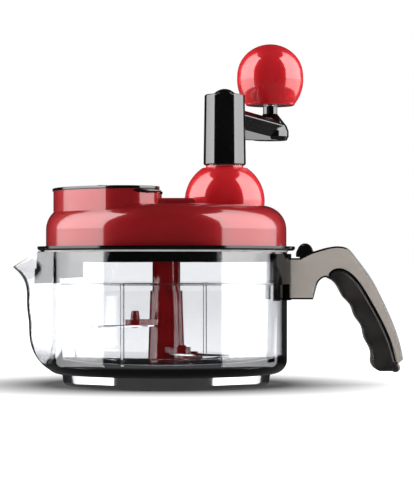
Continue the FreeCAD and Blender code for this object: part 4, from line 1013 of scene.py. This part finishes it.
@dataclass
class CoverUnit(SubAssembly):
    """Chute cover: a kidney plate with a rim under it, a leaf-like thumb tab and a hinge knuckle."""

    path_radius: float = 59.5
    half_width: float = 25.7
    half_angle: float = 60.2
    low: float = 144.0
    high: float = 146.2
    rim_inset: float = 2.9
    rim_wall: float = 1.8
    rim_depth: float = 2.4
    hinge: Place = (-45.58, 75.86, 148.4)
    hinge_heading: float = 31.0
    knuckle_radius: float = 3.6
    knuckle_length: float = 13.5
    leaf_centre: Place = (-13.0, -69.0, 142.6)
    leaf_size: Place = (12.5, 5.4, 3.3)
    leaf_heading: float = 38.0
    leaf_tip_start: float = -0.35
    leaf_tip_size: Place = (1.0, 0.8, 0.55)
    leaf_reach: float = 6.0
    web_size: Place = (13.5, 7.5, 3.6)
    web_back: float = 3.2
    web_rise: float = 1.2
    end_sides: int = 96
    arc_steps: int = 60
    plate_rounding: float = 0.5
    knuckle_rounding: float = 0.4

    def build(self) -> None:
        """Build the cover from its plate, leaf and knuckle."""
        cover = joined("cover_plate", self.build_plate(), self.build_leaf(), self.build_knuckle())
        placed(cover, BLACK_GLOSS, Body.COVER, Slot.BLACK_GLOSS, "chute_cover", smooth=32.0)

    def end_centre(self, angle: float) -> Place:
        """Centre of the round end at an angle in degrees round the bowl's axis, in metres."""
        turn = math.radians(angle)
        return metres(self.path_radius * math.cos(turn), self.path_radius * math.sin(turn), self.low)

    def build_end(self, angle: float, away: float) -> bpy.types.Object:
        """Half disc that closes one end of the kidney.

        Args:
            angle: Where the end lies round the bowl's axis, in degrees.
            away: 1 if the disc's outer half lies at larger angles, else -1.

        Returns:
            The half disc.
        """
        centre = self.end_centre(angle)
        turn = math.radians(angle)
        bpy.ops.mesh.primitive_circle_add(vertices=self.end_sides, radius=self.half_width * MM,
                                          fill_type="NGON", location=centre, rotation=(0, 0, turn))
        half = bpy.context.object
        bpy.ops.object.transform_apply(location=True, rotation=True, scale=True)
        bpy.ops.object.mode_set(mode="EDIT")
        bpy.ops.mesh.select_all(action="SELECT")
        heading = (-math.sin(turn) * away, math.cos(turn) * away, 0.0)
        bpy.ops.mesh.bisect(plane_co=centre, plane_no=heading, clear_inner=True)
        bpy.ops.object.mode_set(mode="OBJECT")
        return half

    def build_plate(self) -> bpy.types.Object:
        """Kidney plate: two half discs and the arc between them, extruded, with a rim inset below.

        Returns:
            The plate.
        """
        first, last = 180 - self.half_angle, 180 + self.half_angle
        near = self.build_end(last, 1.0)
        bpy.ops.mesh.primitive_plane_add(size=2 * self.half_width * MM, location=self.end_centre(last),
                                         rotation=(0, 0, math.radians(last)))
        sweep = bpy.context.object
        bpy.ops.object.transform_apply(location=True, rotation=True, scale=True)
        bpy.ops.object.mode_set(mode="EDIT")
        bpy.ops.mesh.select_all(action="SELECT")
        turn = math.radians(last)
        heading = (-math.sin(turn), math.cos(turn), 0.0)
        bpy.ops.mesh.bisect(plane_co=self.end_centre(last), plane_no=heading, clear_inner=True,
                            clear_outer=True)
        bpy.ops.mesh.select_all(action="SELECT")
        bpy.ops.mesh.spin(steps=self.arc_steps, angle=math.radians(2 * self.half_angle),
                          center=(0, 0, self.low * MM), axis=(0, 0, 1))
        bpy.ops.object.mode_set(mode="OBJECT")
        plate = joined("cover_plate", near, sweep, self.build_end(first, -1.0))
        bpy.ops.object.mode_set(mode="EDIT")
        bpy.ops.mesh.select_all(action="SELECT")
        bpy.ops.mesh.remove_doubles(threshold=0.02 * MM)
        bpy.ops.mesh.dissolve_limited(angle_limit=math.radians(1))
        bpy.ops.mesh.normals_make_consistent(inside=False)
        thickness = (self.high - self.low) * MM
        bpy.ops.mesh.extrude_region_move(TRANSFORM_OT_translate={"value": (0, 0, thickness)})
        self.select_level(plate, self.low)
        bpy.ops.mesh.inset(thickness=self.rim_inset * MM)
        bpy.ops.mesh.extrude_region_move(TRANSFORM_OT_translate={"value": (0, 0, -self.rim_depth * MM)})
        bpy.ops.mesh.inset(thickness=self.rim_wall * MM)
        bpy.ops.mesh.extrude_region_move(TRANSFORM_OT_translate={"value": (0, 0, self.rim_depth * MM)})
        bpy.ops.object.mode_set(mode="OBJECT")
        bevelled(plate, self.plate_rounding)
        return plate

    def select_level(self, piece: bpy.types.Object, height: float) -> None:
        """Select only a piece's level faces at a height, and stay in edit mode.

        Args:
            piece: The piece, which is in edit mode.
            height: Height of the faces, in millimetres.
        """
        bpy.ops.mesh.select_all(action="DESELECT")
        bpy.ops.object.mode_set(mode="OBJECT")
        for face in piece.data.polygons:
            face.select = abs(face.center.z - height * MM) < 0.05 * MM and abs(face.normal.z) > 0.9
        bpy.ops.object.mode_set(mode="EDIT")
        bpy.ops.mesh.select_mode(type="FACE")

    def build_leaf(self) -> bpy.types.Object:
        """Thumb tab: a lens that is pointed at one end.

        Returns:
            The thumb tab.
        """
        bpy.ops.mesh.primitive_uv_sphere_add(segments=48, ring_count=24, radius=1.0,
                                             location=metres(*self.leaf_centre),
                                             rotation=(0, 0, math.radians(self.leaf_heading)))
        leaf = bpy.context.object
        leaf.scale = metres(*self.leaf_size)
        bpy.ops.object.transform_apply(location=True, rotation=True, scale=True)
        heading = math.radians(self.leaf_heading)
        for vertex in leaf.data.vertices:
            offset = vertex.co - Vector(metres(*self.leaf_centre))
            along = offset.x * math.cos(heading) + offset.y * math.sin(heading)
            vertex.select = along < self.leaf_tip_start * self.leaf_size[0] * MM
        bpy.ops.object.mode_set(mode="EDIT")
        bpy.ops.mesh.select_mode(type="VERT")
        bpy.ops.transform.resize(value=self.leaf_tip_size, center_override=metres(*self.leaf_centre),
                                 use_proportional_edit=True, proportional_size=self.leaf_reach * MM)
        bpy.ops.object.mode_set(mode="OBJECT")
        return leaf

    def build_knuckle(self) -> bpy.types.Object:
        """Hinge knuckle with the web that carries it on the plate's rear edge.

        Returns:
            The knuckle with its web.
        """
        turn = math.radians(self.hinge_heading)
        bpy.ops.mesh.primitive_cylinder_add(vertices=48, radius=self.knuckle_radius * MM,
                                            depth=self.knuckle_length * MM, location=metres(*self.hinge),
                                            rotation=(math.pi / 2, 0, turn + math.pi / 2))
        knuckle = bpy.context.object
        bpy.ops.object.transform_apply(location=True, rotation=True, scale=True)
        bevelled(knuckle, self.knuckle_rounding)
        back = metres(self.hinge[0] + self.web_back * math.sin(turn),
                      self.hinge[1] - self.web_back * math.cos(turn), self.high + self.web_rise)
        bpy.ops.mesh.primitive_cube_add(size=1.0, location=back, rotation=(0, 0, turn))
        web = bpy.context.object
        web.scale = metres(*self.web_size)
        bpy.ops.object.transform_apply(location=True, rotation=True, scale=True)
        bevelled(web, self.plate_rounding)
        return joined("cover_knuckle", knuckle, web)


@dataclass
class GateUnit(SubAssembly):
    """Sleeve round the spout gate: an upper block and a lower box with a stepped lip."""

    left: float = -97.0
    right: float = -84.5
    half_width: float = 8.25
    low: float = 75.6
    step: float = 87.0
    high: float = 99.4
    step_depth: float = 1.2
    side_step: float = 0.12
    lap: float = 0.5
    rounding: float = 0.7

    def build(self) -> None:
        """Lower box, and the upper block set back behind it."""
        lower = self.block("gate_lower", self.left, self.half_width, self.low, self.step)
        upper = self.block("gate_upper", self.left + self.step_depth, self.half_width - self.side_step,
                           self.step - self.lap, self.high)
        placed(joined("spout_gate_sleeve", lower, upper), BLACK_GLOSS, Body.LID, Slot.BLACK_GLOSS,
               smooth=30.0)

    def block(self, name: str, left: float, half: float, low: float, high: float) -> bpy.types.Object:
        """Block with rounded edges, up to the gate's right side.

        Args:
            name: Name of the new object.
            left: Its left side, in millimetres as the others are.
            half: Half its width across the spout.
            low: Its underside.
            high: Its top.

        Returns:
            The block.
        """
        centre = metres((left + self.right) / 2, 0.0, (low + high) / 2)
        bpy.ops.mesh.primitive_cube_add(size=1.0, location=centre)
        piece = bpy.context.object
        piece.name = name
        piece.scale = metres(self.right - left, 2 * half, high - low)
        bpy.ops.object.transform_apply(location=True, rotation=True, scale=True)
        bevelled(piece, self.rounding)
        return piece


@dataclass
class LatchUnit(SubAssembly):
    """Faceted latch button on its stem."""

    centre: tuple[float, float] = (104.0, 0.0)
    low: float = 95.2
    shoulder: float = 98.8
    crown: float = 103.4
    top: float = 105.4
    length: float = 13.0
    width: float = 15.6
    stem_radius: float = 4.0
    stem_low: float = 87.5
    stem_edge: float = 0.4
    stem_lap: float = 0.5
    crown_share: float = 0.66
    top_share: float = 0.42
    rounding: float = 0.8

    def build(self) -> None:
        """Block, two rings of facets above it and a round stem below."""
        bpy.ops.mesh.primitive_cube_add(size=1.0,
                                        location=metres(*self.centre, (self.low + self.shoulder) / 2))
        button = bpy.context.object
        button.scale = metres(self.length, self.width, self.shoulder - self.low)
        bpy.ops.object.transform_apply(location=True, rotation=True, scale=True)
        bpy.ops.object.mode_set(mode="EDIT")
        bpy.ops.mesh.select_mode(type="FACE")
        bpy.ops.mesh.select_all(action="DESELECT")
        bpy.ops.object.mode_set(mode="OBJECT")
        for face in button.data.polygons:
            face.select = face.normal.z > 0.9
        bpy.ops.object.mode_set(mode="EDIT")
        for height, share in ((self.crown - self.shoulder, self.crown_share),
                              (self.top - self.crown, self.top_share)):
            bpy.ops.mesh.extrude_region_move(TRANSFORM_OT_translate={"value": (0, 0, height * MM)})
            bpy.ops.transform.resize(value=(share, share, 1),
                                     center_override=metres(*self.centre, self.crown))
        bpy.ops.object.mode_set(mode="OBJECT")
        bevelled(button, self.rounding, 2, 20.0)
        stem = lathe("latch_stem", self.centre, [
            (self.stem_radius - self.stem_edge, self.stem_low),
            (self.stem_radius, self.stem_low + self.stem_edge),
            (self.stem_radius, self.low + self.stem_lap),
        ], 48)
        placed(joined("latch_cap", button, stem), BLACK_GLOSS, Body.LATCH, Slot.BLACK_GLOSS,
               "latch_button", smooth=25.0)


class LidUnit(SubAssembly):
    """Red lid and dome over the black inner lid, with screws, seal and bushes."""

    def build(self) -> None:
        """Dress the lid's pieces."""
        self.dress(RED_LID_PAINTED_SHADE, "lid_shell")
        self.dress(RED_DOME, "crank_housing")
        self.dress(BLACK_INNER, "inner_lid")
        self.dress(SEAL, "lid_seal")
        self.dress(STEEL, "lid_screws", "cover_hinge_pin")
        self.dress(NATURAL_NYLON, "crank_bush", "crank_foot_bush", "spindle_bush", "spindle_top_bush")


class DriveUnit(SubAssembly):
    """Gears, shaft and spindle inside the lid."""

    def build(self) -> None:
        """Dress the drive's pieces."""
        self.dress(STEEL, "drive_spindle", "crank_shaft", "crank_screw", "knob_axle")
        self.dress(NATURAL_NYLON, "drive_pinion", "crank_gear", "thrust_washer", "knob_bush")


@dataclass
class CrankUnit(SubAssembly):
    """Black crank column and arm with its cap, and the red knob."""

    knob_centre: tuple[float, float] = (79.75, 62.35)
    knob_low: float = 213.4
    knob_belly: float = 236.7
    knob_top: float = 261.2
    knob_radius: float = 25.7
    foot_radius: float = 19.2
    foot_edge: float = 1.4
    bore_radius: float = 5.7
    bore_top: float = 243.7
    taper_bulge: float = 2.2
    taper_rings: int = 14
    bore_edge: float = 0.5
    pole_radius: float = 0.4

    def build(self) -> None:
        """Dress the crank's pieces and turn the knob."""
        self.dress(BLACK_GLOSS, "crank_arm", "crank_cap")
        self.build_knob()

    def build_knob(self) -> None:
        """Ball knob that narrows to a flat foot with a rounded edge, bored for its bush."""
        low, edge = self.knob_low, self.foot_edge
        steps: Steps = [(self.bore_radius, self.bore_top), (self.bore_radius, low + self.bore_edge),
                        (self.bore_radius + self.bore_edge, low), (self.foot_radius - edge, low)]
        for turn in (22.5, 45.0, 67.5, 90.0):
            angle = math.radians(turn)
            steps.append((self.foot_radius - edge + edge * math.sin(angle),
                          low + edge - edge * math.cos(angle)))
        steps += arc_steps(steps[-1], (self.knob_radius, self.knob_belly), self.taper_bulge,
                           self.taper_rings)
        for turn in range(5, 90, 5):
            angle = math.radians(turn)
            steps.append((self.knob_radius * math.cos(angle),
                          self.knob_belly + (self.knob_top - self.knob_belly) * math.sin(angle)))
        steps.append((self.pole_radius, self.knob_top))
        placed(lathe("knob_ball", self.knob_centre, steps), RED_DOME, Body.KNOB, Slot.RED, "crank_knob")


def main() -> None:
    """Build the studio and every sub-assembly."""
    logging.basicConfig(level=logging.INFO, format="%(name)s: %(message)s")
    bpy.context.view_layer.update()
    Studio().build()
    for unit in (BowlUnit(), HandleUnit(), LatchUnit(), BladeUnit(), LidUnit(), GateUnit(), CoverUnit(),
                 DriveUnit(), CrankUnit()):
        unit.build()
        log.info("finished %s", type(unit).__name__)


if __name__ == "__main__":
    main()
